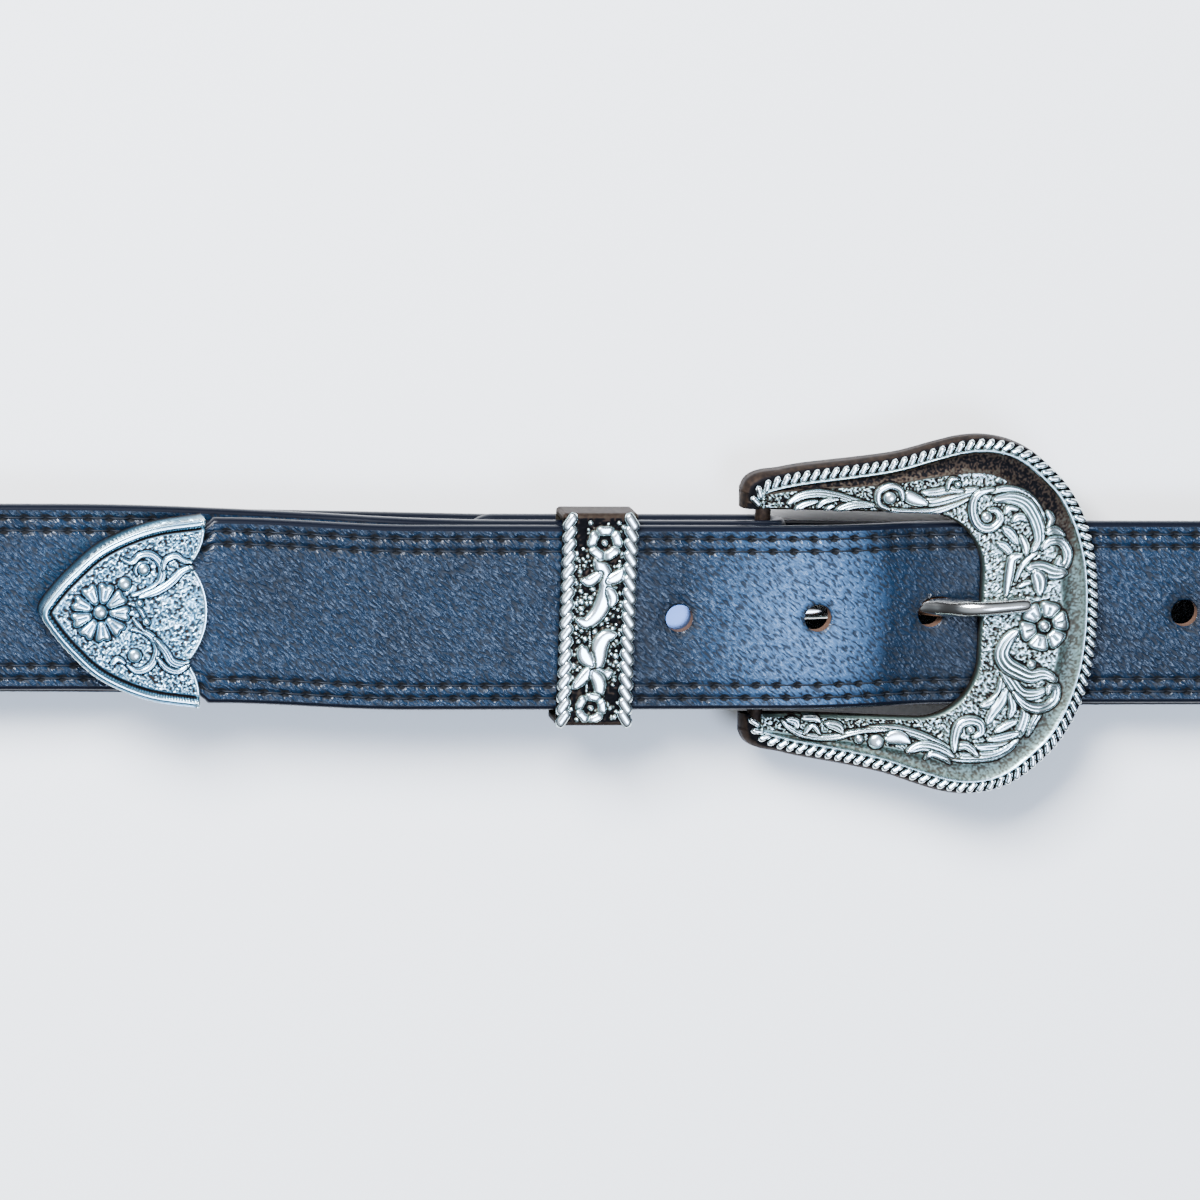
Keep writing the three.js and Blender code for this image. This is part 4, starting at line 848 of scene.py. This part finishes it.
# Blades of the scrolls, each as its width, height, veins cut into it, and its path.
FRAME_BLADES = [
    (1.5, 0.8, 2, [(38.4, 22.7), (41.0, 24.3), (44.3, 24.9), (47.6, 24.5), (50.7, 23.7),
        (53.5, 23.3)]),
    (1.2, 0.8, 1, [(39.7, 21.4), (41.6, 22.5), (44.1, 23.3)]),
    (1.0, 0.8, 1, [(44.1, 22.0), (45.6, 23.3), (48.1, 23.8)]),
    (1.5, 0.9, 2, [(47.5, 21.0), (49.7, 22.2), (52.2, 22.8), (55.4, 22.7)]),
    (0.9, 0.7, 0, [(45.6, 21.0), (46.5, 22.0), (47.4, 22.5)]),
    (1.5, 0.8, 1, [(55.7, 22.6), (59.6, 21.5), (64.2, 21.3), (68.1, 22.0), (71.7, 23.4),
        (74.8, 24.9)]),
    (2.0, 0.8, 2, [(64.2, 23.6), (67.1, 23.8), (70.4, 24.7), (73.7, 25.8), (76.3, 26.5)]),
    (1.5, 0.8, 1, [(64.9, 25.6), (67.5, 25.7), (70.4, 26.3), (73.0, 26.1)]),
    (0.8, 0.9, 0, [(69.8, 26.3), (70.0, 27.6), (70.8, 28.6), (72.1, 28.5)]),
    (2.3, 0.6, 0, [(61.1, 25.3), (62.9, 24.3), (65.5, 23.4)]),
    (1.4, 0.8, 1, [(78.3, 25.8), (81.9, 26.6), (85.5, 25.8), (88.1, 23.8), (89.7, 21.1),
        (90.4, 18.1)]),
    (1.3, 0.8, 0, [(81.9, 21.4), (82.9, 22.6), (84.7, 22.4)]),
    (1.5, 0.8, 1, [(83.7, 19.9), (85.3, 20.8), (87.3, 19.9)]),
    (2.4, 1.0, 2, [(79.7, 24.4), (83.0, 24.7), (86.0, 23.7), (87.9, 21.4), (89.2, 18.4),
        (89.4, 15.8), (88.1, 13.5)]),
    (1.4, 0.8, 0, [(91.0, 21.9), (92.0, 20.2), (91.0, 18.1)]),
    (1.6, 0.8, 1, [(90.9, 17.5), (92.7, 18.0), (94.7, 16.8)]),
    (1.8, 1.0, 1, [(90.1, 14.2), (91.7, 15.8), (94.2, 15.6), (95.7, 13.2), (95.1, 10.6),
        (93.5, 10.8), (93.9, 12.4)]),
    (1.8, 0.8, 1, [(81.8, 18.5), (83.4, 17.3), (85.0, 15.2)]),
    (1.6, 0.8, 1, [(80.8, 15.4), (82.5, 14.4), (84.0, 12.6)]),
    (1.5, 0.8, 0, [(85.6, 16.8), (86.6, 14.8), (86.8, 12.9)]),
    (1.8, 0.9, 0, [(85.8, 12.9), (84.0, 12.1), (83.6, 9.6), (83.3, 7.0), (83.0, 4.5)]),
    (1.1, 0.7, 0, [(89.1, 13.4), (87.1, 11.8), (85.8, 9.9), (84.9, 7.5)]),
    (1.0, 0.7, 0, [(85.5, 6.2), (87.4, 7.1), (88.9, 6.9)]),
    (2.8, 0.9, 2, [(87.4, 10.1), (90.1, 10.0), (92.7, 9.2), (95.3, 9.2)]),
    (2.8, 0.9, 1, [(88.9, 9.4), (89.9, 7.5), (90.0, 4.9)]),
    (2.0, 0.8, 1, [(86.5, -16.8), (88.2, -19.4), (87.8, -22.4), (86.5, -25.0), (83.8, -26.8),
        (80.6, -27.2), (77.8, -27.1)]),
    (2.3, 0.9, 2, [(83.8, -11.2), (83.4, -13.9), (82.9, -16.2), (81.2, -17.8), (79.1, -18.5)]),
    (2.0, 0.8, 1, [(84.3, -14.8), (83.0, -17.8), (81.4, -20.1), (80.2, -22.2)]),
    (1.6, 0.8, 1, [(84.8, -15.8), (85.6, -18.8), (84.9, -20.9)]),
    (1.5, 0.8, 1, [(86.5, -21.6), (84.3, -22.7), (82.2, -23.9)]),
    (1.5, 0.8, 1, [(87.1, -24.2), (83.8, -25.1), (80.7, -25.6)]),
    (1.6, 0.8, 1, [(88.9, -19.4), (91.0, -19.9), (90.1, -22.1), (89.0, -24.8)]),
    (2.3, 0.9, 2, [(82.9, -10.9), (84.8, -13.2), (87.1, -15.9), (90.1, -16.2), (92.5, -15.1)]),
    (1.8, 0.9, 1, [(85.6, -15.8), (87.4, -17.8), (89.7, -19.0), (92.4, -18.9), (94.4, -17.3),
        (94.6, -14.8), (93.2, -14.6), (92.7, -15.9)]),
    (1.0, 0.8, 0, [(85.6, -9.3), (87.4, -10.5), (89.0, -10.4)]),
    (2.9, 1.0, 2, [(85.6, -2.9), (83.7, -5.0), (82.7, -7.6), (83.8, -9.8), (86.1, -11.2),
        (88.9, -12.3), (91.7, -11.9), (94.3, -13.1)]),
    (2.0, 0.9, 2, [(71.7, -28.8), (74.7, -29.3), (78.3, -29.3), (82.2, -28.9), (84.8, -27.6),
        (86.9, -25.8)]),
    (1.5, 0.8, 1, [(73.2, -27.8), (76.0, -26.8), (78.6, -28.8)]),
    (1.6, 0.8, 1, [(53.6, -24.3), (57.3, -23.7), (61.6, -23.6), (65.8, -24.6), (69.1, -25.9),
        (72.4, -27.6), (74.5, -29.0)]),
    (2.0, 0.8, 2, [(64.2, -28.1), (67.1, -27.0), (70.4, -27.6), (73.4, -29.0)]),
    (1.2, 0.8, 0, [(67.8, -29.7), (69.1, -28.6), (71.6, -29.5), (73.0, -30.6)]),
    (2.6, 0.6, 0, [(59.6, -25.7), (61.9, -25.3), (64.2, -26.1)]),
    (1.3, 0.8, 1, [(37.7, -22.4), (39.2, -23.8), (42.0, -25.2), (45.6, -25.8), (49.4, -25.5),
        (52.2, -24.7), (55.3, -24.1), (59.6, -23.8)]),
    (1.5, 0.8, 1, [(38.6, -22.1), (40.5, -22.6), (40.8, -23.8)]),
    (1.0, 0.8, 0, [(42.4, -25.0), (44.1, -23.3), (45.7, -25.0)]),
    (1.8, 0.8, 1, [(46.9, -22.8), (49.4, -23.4), (50.4, -24.5)]),
    (1.5, 0.6, 0, [(42.0, -21.9), (44.1, -21.7), (45.6, -22.4)]),
    (1.7, 1.0, 1, [(79.3, 26.6), (76.3, 25.6), (75.2, 23.4), (75.7, 20.4), (77.3, 18.6),
        (79.6, 18.6), (81.1, 20.4), (80.2, 22.0), (78.6, 22.2)]),
    (1.2, 0.9, 0, [(60.9, 24.0), (60.2, 26.2), (58.0, 26.8), (56.0, 25.4), (56.2, 23.0), (58.2, 22.0)]),
    (1.9, 1.0, 1, [(73.7, -27.9), (73.7, -25.3), (74.4, -22.7), (76.3, -21.6), (78.6, -22.1),
        (79.1, -24.0), (77.6, -25.0)]),
]
for width, height, veins, path in FRAME_BLADES:
    relief.stroke(1.18 * width, height, veins, path)
for x, y, radius in ((78.2, 20.7, 1.15), (58.3, 24.3, 1.3), (76.9, -23.6, 0.9), (57.6, -26.4, 1.6),
                     (54.0, -25.9, 1.0), (89.1, -9.9, 1.0), (72.0, 27.4, 0.7)):
    relief.ball(x, y, radius)
relief.petals(91.4, -1.9, (1.75, 5.3), 6, 15, 0.9, 0.96, 0.03, 1.0)
relief.ball(91.4, -1.9, 1.25, 1.1)
relief.punch(0.26, 3, 0.28)


def square_legs(places):
    """The two leg ends stand a little askew in the casting, one further out than the other."""
    lean = LEG_SKEW * smooth_step((LEG_SKEW_END_X - places[..., 0]) / LEG_SKEW_RUN)
    moved = places.copy()
    moved[..., 0] -= lean * places[..., 1]
    return moved


bed_z = (frame_under(bed[..., 0]) + FRAME_THICKNESS) + relief.height.reshape(bed.shape[:2])
LEG_WALL, BOW_WALL_LESS, LEG_END_X = 4.4, 1.2, 45
LEG_FLARE, BOW_FLARE_LESS, LEG_END_FLARE = 1.15, 0.95, 0.8
depth_outside = LEG_WALL - BOW_WALL_LESS * smooth_step((outer_line[:, 0] - LEG_END_X) / 30)
depth_inside = LEG_WALL - BOW_WALL_LESS * smooth_step((inner_line[:, 0] - LEG_END_X) / 22)
flare = LEG_FLARE - BOW_FLARE_LESS * smooth_step((outer_line[:, 0] - 70) / 18)
flare += LEG_END_FLARE * (1 - smooth_step((outer_line[:, 0] - FRAME_RAMP[0]) / 7))
top_z = frame_under(outer_line[:, 0]) + FRAME_THICKNESS
along_edge = np.gradient(outer_line, axis=0)
outside = np.column_stack((-along_edge[:, 1], along_edge[:, 0]))
outside /= np.linalg.norm(along_edge, axis=1)[:, None]
rows_of_ring = [np.concatenate((bed, bed_z[..., None]), axis=-1)]
for line, low, out_by in ((inner_line, depth_inside, 0.0), (outer_line, depth_outside, 1.0),
                          (outer_line, 1.9, 0.8), (outer_line, 0.9, 0.35)):
    place = line + outside * (flare * out_by)[:, None]
    rows_of_ring.append(np.concatenate((place, (top_z - low)[:, None]), axis=1)[:, None])
frame_rings = np.concatenate(rows_of_ring, axis=1)
END_SLOPE = [(1.7, 3.6), (1.6, 2.4), (1.2, 1.3), (0.6, 0.4)]
END_FACE_X = 29.25


def end_slope(ring):
    """Rings that carry a leg's end outward and down, outermost first."""
    low = ring[:, 2].min()
    return np.stack([np.column_stack((np.maximum(ring[:, 0] - out_by, END_FACE_X), ring[:, 1],
                                      np.maximum(ring[:, 2] - drop, low + 0.1 * (drop < 3))))
                     for out_by, drop in END_SLOPE])


frame_rings = square_legs(np.concatenate((end_slope(frame_rings[0]), frame_rings,
                                          end_slope(frame_rings[-1])[::-1])))
casting = tube_mesh("buckle_casting", [frame_rings])
frame_tone = np.full(frame_rings.shape[:2], HIDDEN_TONE)
frame_tone[len(END_SLOPE):-len(END_SLOPE), :FRAME_COLUMNS] = relief.tone.reshape(bed.shape[:2])
give_tones(casting, np.concatenate((frame_tone.ravel(), [HIDDEN_TONE] * 2)))

ROPE_INSET, ROPE_SUNK, ROPE_FROM_X = 1.1, 0.35, 36.6
ROPE_SLANT, ROPE_FULLNESS = math.radians(68), 0.38
rope_line = outer_line + across / wide[:, None] * ROPE_INSET
leg_end = np.array([(32.0, 21.9), (32.0, 22.8), (32.3, 24.1), (33.2, 25.4), (34.6, 26.2)])
start = np.searchsorted(rope_line[:FRAME_ROWS // 2, 0], ROPE_FROM_X)
rope_path = np.concatenate((leg_end, rope_line[start:-start:8], leg_end[::-1] * (1, -1)))
rope_path = even_line(smooth_line(rope_path, 6), 900)
rope_z = frame_under(rope_path[:, 0]) + FRAME_THICKNESS - ROPE_SUNK
frame_rope = rope_edge("frame_rope", square_legs(np.column_stack((rope_path, rope_z))), ROPE_PITCH,
                       ROPE_WIDTH, ROPE_HEIGHT, ROPE_SLANT, ROPE_FULLNESS)
bar = cylinder("buckle_bar", BAR_RADIUS, 2 * OPENING_HALF + 3, (BAR_X, 0, BAR_Z), "Y", 40)
give_tones(bar, np.full(len(bar.data.vertices), HIDDEN_TONE))
for piece in (casting, frame_rope, bar):
    piece.data.materials.append(silver)
    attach(piece, "root")
    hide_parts("buckle_frame")

# Keeper: a cast band slid over both layers of the strap, in the same blackened silver, with a
# rope along each long edge and two leafy figures and two small flowers on a pebbled black ground.
KEEPER_LEFT, KEEPER_RIGHT, KEEPER_HALF = -10.0, 5.4, 22.0
KEEPER_SIDE, KEEPER_FRONT, KEEPER_BACK = 1.6, 1.3, 1.1
KEEPER_ROPE, KEEPER_PITCH, KEEPER_ROPE_HEIGHT, ROPE_OVERHANG = 3.1, 2.6, 0.7, 0.2
KEEPER_CORNER = 1.2
PEBBLES, OFF_FIELD = 620, 99
keeper_in_top = OVERLAP_Z + LEATHER / 2 + GAP
keeper_top = keeper_in_top + KEEPER_FRONT
keeper_in_low = FRONT_Z - LEATHER / 2 - GAP
keeper_low = keeper_in_low - KEEPER_BACK
KEEPER_BLADES = [
    (2.2, 1.0, 1, [(-0.9, 13.5), (-0.1, 11.3), (0.9, 9.1), (1.6, 6.8), (0.8, 3.8), (-0.5, 1.2),
        (-2.5, -0.5), (-4.2, -0.0)]),
    (1.4, 0.8, 0, [(-0.2, 9.7), (-2.1, 8.1), (-3.7, 8.2)]),
    (1.6, 0.8, 0, [(1.6, 8.2), (3.4, 9.0), (4.4, 10.4)]),
    (1.3, 0.8, 0, [(1.6, 6.6), (2.7, 4.8), (2.4, 3.0)]),
    (2.2, 1.0, 1, [(3.1, -2.9), (1.4, -3.4), (0.3, -5.4), (-0.1, -8.0), (-0.8, -9.9),
        (-2.5, -11.6), (-4.5, -13.6)]),
    (1.9, 0.8, 0, [(-3.3, -5.5), (-2.5, -7.6), (-1.2, -9.1)]),
    (1.5, 0.8, 0, [(-0.4, -10.4), (1.4, -11.3), (2.8, -10.5)]),
    (1.7, 0.8, 0, [(-0.9, -10.6), (0.5, -12.9), (0.6, -15.8)]),
    (0.25, 0.5, 0, [(-1.8, -1.4), (-1.7, -6.2)]),
    (0.25, 0.5, 0, [(-2.0, -12.6), (-2.0, -14.8)]),
]


def join(name, things):
    """Joins mesh objects into one."""
    bpy.ops.object.select_all(action="DESELECT")
    for thing in things:
        thing.select_set(True)
    bpy.context.view_layer.objects.active = things[0]
    bpy.ops.object.join()
    things[0].name = name
    things[0].data.name = name
    return things[0]


def corner_arc(y, z, start, steps=7):
    turn = np.radians(np.linspace(start, start - 90, steps))
    return [(y + KEEPER_CORNER * math.cos(a), z + KEEPER_CORNER * math.sin(a)) for a in turn]


reach_y, reach_z, low_z = (KEEPER_HALF - KEEPER_CORNER, keeper_top - KEEPER_CORNER,
                           keeper_low + KEEPER_CORNER)
front_rows = [(y, keeper_top) for y in np.linspace(-reach_y, reach_y, 190)[1:-1]]
loop_path = (front_rows + corner_arc(reach_y, reach_z, 90)
             + [(KEEPER_HALF, z) for z in np.linspace(reach_z, low_z, 8)[1:-1]]
             + corner_arc(reach_y, low_z, 0)
             + [(y, keeper_low) for y in np.linspace(reach_y, -reach_y, 12)[1:-1]]
             + corner_arc(-reach_y, low_z, -90)
             + [(-KEEPER_HALF, z) for z in np.linspace(low_z, reach_z, 8)[1:-1]]
             + corner_arc(-reach_y, reach_z, 180))
loop_path = np.array(loop_path)
loop_way = np.roll(loop_path, -1, axis=0) - np.roll(loop_path, 1, axis=0)
loop_way /= np.linalg.norm(loop_way, axis=1)[:, None]
loop_out = np.column_stack((-loop_way[:, 1], loop_way[:, 0]))
inner_loop = np.column_stack((np.clip(loop_path[:, 0], KEEPER_SIDE - KEEPER_HALF, KEEPER_HALF - KEEPER_SIDE),
                              np.clip(loop_path[:, 1], keeper_in_low, keeper_in_top)))
keeper_x = np.linspace(KEEPER_LEFT, KEEPER_RIGHT, 68)
field_x, field_y = np.meshgrid(keeper_x, loop_path[:, 0])
on_front = np.broadcast_to((loop_path[:, 1] > keeper_top - 0.01)[:, None], field_x.shape)
to_side = np.minimum(field_x - KEEPER_LEFT, KEEPER_RIGHT - field_x)
under_rope = (to_side < KEEPER_ROPE - ROPE_OVERHANG) & on_front
field_height = np.where(under_rope, -0.35, -0.1) - 0.35 * (1 - smooth_step(to_side / 0.5))
# The band's sides get tone 0.14, the ramp's brown: dark patina with a painted brown reflection.
field_tone = np.where(on_front, 0.02, 0.14)
field = np.column_stack((field_x.ravel() - KEEPER_LEFT - 8, np.where(on_front, field_y, OFF_FIELD).ravel()))
figures = Relief(field, field_height.ravel(), field_tone.ravel(), (on_front & ~under_rope).ravel() * 0.25)
pebbles = np.random.default_rng(11)
for _ in range(PEBBLES):
    x, y = pebbles.uniform(-5.2, 4.6), pebbles.uniform(-20.8, 20.8)
    if pebbles.uniform(0, 1) > 0.75 * smooth_step((abs(y) - 11) / 4):
        figures.ball(x, y, pebbles.uniform(0.25, 0.62), 0.3)
for width, height, veins, path in KEEPER_BLADES:
    figures.stroke(1.75 * width, 0.9 * height, 0, path)
figures.petals(0.6, 15.9, (1.5, 3.7), 5, 90, 0.7, 1.0, 0.05)
figures.ball(0.6, 15.9, 0.65, 0.6)
figures.petals(-1.0, -18.1, (1.45, 3.3), 5, 80, 0.7, 1.0, 0.05)
figures.ball(-1.0, -18.1, 0.6, 0.6)
figures.punch(0.15, 5, 0.5)
lift = figures.height.reshape(field_x.shape)
outer_rows = np.stack((field_x, loop_path[:, 0][:, None] + loop_out[:, 0][:, None] * lift,
                       loop_path[:, 1][:, None] + loop_out[:, 1][:, None] * lift), axis=-1)
inner_rows = np.stack([np.column_stack((np.full(len(loop_path), x), inner_loop))
                       for x in (KEEPER_RIGHT, KEEPER_LEFT)], axis=1)
band = np.concatenate((outer_rows, inner_rows), axis=1)
band_faces = grid_faces(len(band) + 1, band.shape[1], True) % (len(band) * band.shape[1])
keeper_band = faces_out(mesh_object("keeper_band", band.reshape(-1, 3), [band_faces]))
give_tones(keeper_band, np.concatenate((figures.tone.reshape(field_x.shape),
                                        np.full((len(band), 2), 0.2)), axis=1).ravel())
keeper_ropes = []
for x, tilt in ((KEEPER_LEFT + KEEPER_ROPE / 2 - ROPE_OVERHANG, 1),
                (KEEPER_RIGHT - KEEPER_ROPE / 2 + ROPE_OVERHANG, -1)):
    line = np.array([(x, y, keeper_top - sunk) for y, sunk in ((-21.4, 0.45), (-20.6, 0.12), (20.6, 0.12),
                                                               (21.4, 0.45))])
    keeper_ropes.append(rope_edge("keeper_rope", even_line(line, 200), KEEPER_PITCH, KEEPER_ROPE,
                                  KEEPER_ROPE_HEIGHT, math.radians(50), 0.62, -tilt))
keeper_rope = join("keeper_rope", keeper_ropes)
for piece in (keeper_band, keeper_rope):
    piece.data.materials.append(silver)
    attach(piece, "root")
    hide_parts("keeper")

# Belt tip: a cast ogive shell pushed over the strap's pointed end, with a plain bead and a milled
# groove along its outline, and a nine-petalled flower with two scrolls on a punched ground.
TIP_CUSP, TIP_BULGE = (-85.7, 10.0), -82.0
TIP_PLATE, TIP_BACK = 1.5, 0.9
TIP_BEAD, TICK_PITCH, TIP_MIDDLE_X, TIP_RIM_RADIUS = 1.7, 0.85, -88, 26
TIP_BLADES = [
    (1.6, 0.8, 1, [(-97.4, 5.2), (-94.4, 6.1), (-92.3, 7.5), (-91.4, 9.7), (-92.1, 12.1),
        (-94.0, 13.6), (-96.2, 13.3), (-97.7, 11.9), (-99.8, 12.7)]),
    (1.8, 0.9, 2, [(-96.0, 4.8), (-92.4, 6.1), (-89.6, 8.0), (-87.4, 10.2), (-84.4, 11.4)]),
    (1.3, 0.8, 1, [(-91.4, 10.5), (-90.8, 12.4), (-88.9, 13.3), (-87.4, 12.4), (-85.6, 12.0)]),
    (0.8, 0.8, 0, [(-96.5, 9.3), (-96.9, 10.5), (-96.1, 11.8), (-94.3, 11.9)]),
    (1.6, 0.8, 1, [(-97.4, -1.7), (-95.2, -2.0), (-93.0, -3.4), (-92.0, -5.6), (-92.5, -8.0),
        (-94.0, -9.8), (-96.2, -10.2), (-97.9, -9.0)]),
    (1.8, 0.9, 2, [(-92.5, -3.6), (-90.4, -6.1), (-88.9, -8.4), (-86.4, -9.0), (-85.2, -8.3)]),
    (1.3, 0.8, 1, [(-92.0, -7.5), (-90.1, -9.6), (-87.7, -10.3), (-85.4, -8.9)]),
    (1.3, 0.8, 0, [(-101.2, -8.9), (-99.9, -7.8), (-98.5, -8.6)]),
    (0.9, 0.7, 0, [(-97.1, 0.5), (-96.0, -0.8), (-94.9, -1.9)]),
    (1.1, 0.7, 0, [(-98.4, 3.6), (-96.2, 3.0), (-94.3, -0.2)]),
]


def curve_of_three(a, b, c, steps=24):
    t = np.linspace(0, 1, steps)[:, None]
    return (1 - t) ** 2 * np.array(a) + 2 * t * (1 - t) * np.array(b) + t ** 2 * np.array(c)


tip_line = smooth_line(mirror_down(TIP_OUTLINE), 40)
upper_scallop = np.concatenate((
    curve_of_three((TIP_BULGE, 0), (TIP_BULGE, 5.5), TIP_CUSP)[:-1],
    curve_of_three(TIP_CUSP, (TIP_CUSP[0] + 3.2, TIP_CUSP[1] + 4), TIP_OUTLINE[0])))
TIP_ROWS, TIP_COLUMNS, ROW_CROWDING = 330, 150, 1.42
row_turn = np.linspace(-ROW_CROWDING, ROW_CROWDING, TIP_ROWS)
tip_y = TIP_OUTLINE[0][1] * np.sin(row_turn) / math.sin(ROW_CROWDING)
upper_tip = tip_line[:len(tip_line) // 2 + 1][::-1]
left_x = np.interp(np.abs(tip_y), upper_tip[:, 1], upper_tip[:, 0])
right_x = np.interp(np.abs(tip_y), upper_scallop[:, 1], upper_scallop[:, 0])
spread = np.linspace(0, 1, TIP_COLUMNS)
plate_x = left_x[:, None] + spread[None, :] * (right_x - left_x)[:, None]
plate = np.stack((plate_x, np.repeat(tip_y[:, None], TIP_COLUMNS, axis=1)), axis=-1).reshape(-1, 2)


def distance_to(points, line):
    far = np.full(len(points), 1e9)
    for x, y in line:
        far = np.minimum(far, np.hypot(points[:, 0] - x, points[:, 1] - y))
    return far


to_outline = distance_to(plate, even_line(tip_line, 420))
scallop_line = np.concatenate((upper_scallop[::-1] * (1, -1), upper_scallop[1:]))
to_scallop = distance_to(plate, even_line(scallop_line, 200))
around = np.arctan2(plate[:, 1], plate[:, 0] - TIP_MIDDLE_X) * TIP_RIM_RADIUS
bead = np.clip(1 - ((to_outline - TIP_BEAD / 2) / (TIP_BEAD / 2)) ** 2, 0, 1) ** 0.5
groove = np.exp(-((to_outline - TIP_BEAD - 0.3) / 0.32) ** 2)
milled = np.abs(to_outline - TIP_BEAD + 0.15) < 0.4
ticks = milled * (0.5 + 0.5 * np.sin(2 * np.pi * around / TICK_PITCH))
lip = np.exp(-((to_scallop - 0.35) / 0.3) ** 2)
tip_height = 0.75 * bead - 0.3 * groove - 0.2 * ticks + 0.2 * lip
tip_tone = np.where(to_outline < TIP_BEAD, 0.95, 0.6) - 0.6 * ticks
line_on_bead = np.exp(-((to_outline - 0.5) / 0.16) ** 2)
tip_height -= 0.12 * line_on_bead
tip_tone = np.clip(tip_tone * (1 - groove) * (1 - 0.75 * line_on_bead) + 0.4 * lip, 0, 1)
tip_punched = smooth_step((to_outline - TIP_BEAD - 0.6) / 0.3) * smooth_step((to_scallop - 0.6) / 0.3)
shell = Relief(plate, tip_height, tip_tone, tip_punched)
for width, height, veins, path in TIP_BLADES:
    shell.stroke(width, height, veins, [(x, y - TIP_SHIFT_Y) for x, y in path])
for x, y, radius in ((-99, 7.5, 1.4), (-95.2, 10.5, 1.25), (-96.5, -7.1, 1.4), (-95.8, 3.6, 0.8),
                     (-94.3, -0.2, 0.8)):
    shell.ball(x, y - TIP_SHIFT_Y, radius)
shell.petals(-103.7, 0.2, (1.7, 6.1), 9, 78, 0.9, 0.9, 0.07, 0.9)
shell.ball(-103.7, 0.2, 1.45, 0.9)
shell.punch(0.3, 9, 0.31)

tip_low = OVERLAP_Z - LEATHER / 2 - GAP - TIP_BACK
tip_top = OVERLAP_Z + LEATHER / 2 + GAP + TIP_PLATE
plate_z = tip_top + shell.height.reshape(TIP_ROWS, TIP_COLUMNS)
top_rows = np.concatenate((plate.reshape(TIP_ROWS, TIP_COLUMNS, 2), plate_z[..., None]), axis=-1)
low_rows = np.stack([np.column_stack((x, tip_y, np.full(TIP_ROWS, tip_low))) for x in (right_x, left_x)],
                    axis=1)
shell_rings = np.concatenate((top_rows, low_rows), axis=1) + (0, TIP_SHIFT_Y, 0)
tip_shell = tube_mesh("tip_shell", [shell_rings])
give_tones(tip_shell, np.concatenate((np.concatenate(
    (shell.tone.reshape(TIP_ROWS, TIP_COLUMNS), np.full((TIP_ROWS, 2), 0.1)), axis=1).ravel(), [0.5, 0.5])))
tip_silver = silver.copy()
tip_silver.name = "antiqued_silver_tip_plate"
tip_ramp = next(node for node in tip_silver.node_tree.nodes if node.type == "VALTORGB").color_ramp
for element, code in zip(tip_ramp.elements[3:], ("#37424a", "#4d7f95", "#9fcbdb", "#dff2f8")):
    element.color = linear(code)
tip_shell.data.materials.append(tip_silver)
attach(tip_shell, "root")
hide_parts("belt_tip")

# Camera above and to the upper left of the belt's face, two metres away, levelled so that the
# strap runs across the frame; two wide soft lights and a pale table.
VIEW_SIDE, VIEW_UP = 0.2, 0.2
VIEW_DISTANCE = 2000.0
PIXELS_PER_MM = 4.95
AIM = (-1.65, 3.9, 22.1)
PICTURE_PIXELS, FLOOR_REACH = 1200, 3000
toward = Vector((-VIEW_SIDE, VIEW_UP, 1)).normalized()
camera_up = Vector((0, 1, -VIEW_UP)).normalized()
camera_right = camera_up.cross(toward).normalized()
camera_up = toward.cross(camera_right).normalized()
camera_data = bpy.data.cameras.new("camera")
camera_data.angle = 2 * math.atan(PICTURE_PIXELS / PIXELS_PER_MM / 2 / VIEW_DISTANCE)
camera_data.clip_start, camera_data.clip_end = 0.01, 20
camera = bpy.data.objects.new("camera", camera_data)
camera.matrix_world = Matrix.Translation((Vector(AIM) + toward * VIEW_DISTANCE) * MM) @ Matrix(
    (camera_right, camera_up, toward)).transposed().to_4x4()
bpy.context.scene.collection.objects.link(camera)
bpy.context.scene.camera = camera

corners = [(x * FLOOR_REACH, y * FLOOR_REACH, 0) for x, y in ((-1, -1), (1, -1), (1, 1), (-1, 1))]
floor = mesh_object("floor", corners, [np.array([[0, 1, 2, 3]])])
paper = new_material("white_paper_sweep", {"Base Color": linear("#fdf9f2"), "Roughness": 0.9})[0]
floor.data.materials.append(paper)


def soft_light(name, place, target, size, watts, tint):
    """A square soft box, placed and aimed in millimetres."""
    data = bpy.data.lights.new(name, "AREA")
    data.size = size * MM
    data.energy = watts
    data.color = linear(tint)[:3]
    lamp = bpy.data.objects.new(name, data)
    turn = (Vector(place) - Vector(target)).normalized().to_track_quat("Z", "Y").to_matrix().to_4x4()
    lamp.matrix_world = Matrix.Translation(Vector(place) * MM) @ turn
    bpy.context.scene.collection.objects.link(lamp)


soft_light("window_light", (-600, 900, 1200), (0, 0, 0), 650, 114, "#edf3ff")
soft_light("sky_light", (290, -290, 1350), (0, 0, 0), 520, 19, "#bdd6ff")
world = bpy.data.worlds.new("room")
bpy.context.scene.world = world
world.use_nodes = True
tree = world.node_tree
background = tree.nodes["Background"]
sky_place = add_node(tree, "ShaderNodeTexCoord").outputs["Generated"]
height = add_node(tree, "ShaderNodeSeparateXYZ", {}, (sky_place,)).outputs[2]
dome = add_node(tree, "ShaderNodeValToRGB", {"stops": (
    (0, "#1f1a17"), (0.5, "#4c4f54"), (0.82, "#b4bfcc"), (1, "#e6efff"))}, (height,)).outputs[0]
tree.links.new(dome, background.inputs["Color"])
background.inputs["Strength"].default_value = 1.35

# Snaps that hold the turned-back end: pressed brass caps and studs, nickel plated and tumbled to
# a satin shine. They are plain turned shapes, so the solids show as they are, in this finish.
satin = new_material("satin_nickel_snap", {"Base Color": linear("#5d6f94"), "Metallic": 1.0,
                                           "Roughness": 0.38})[0]
for name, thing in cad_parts.items():
    if name.startswith("snap"):
        thing.data.materials.clear()
        thing.data.materials.append(satin)
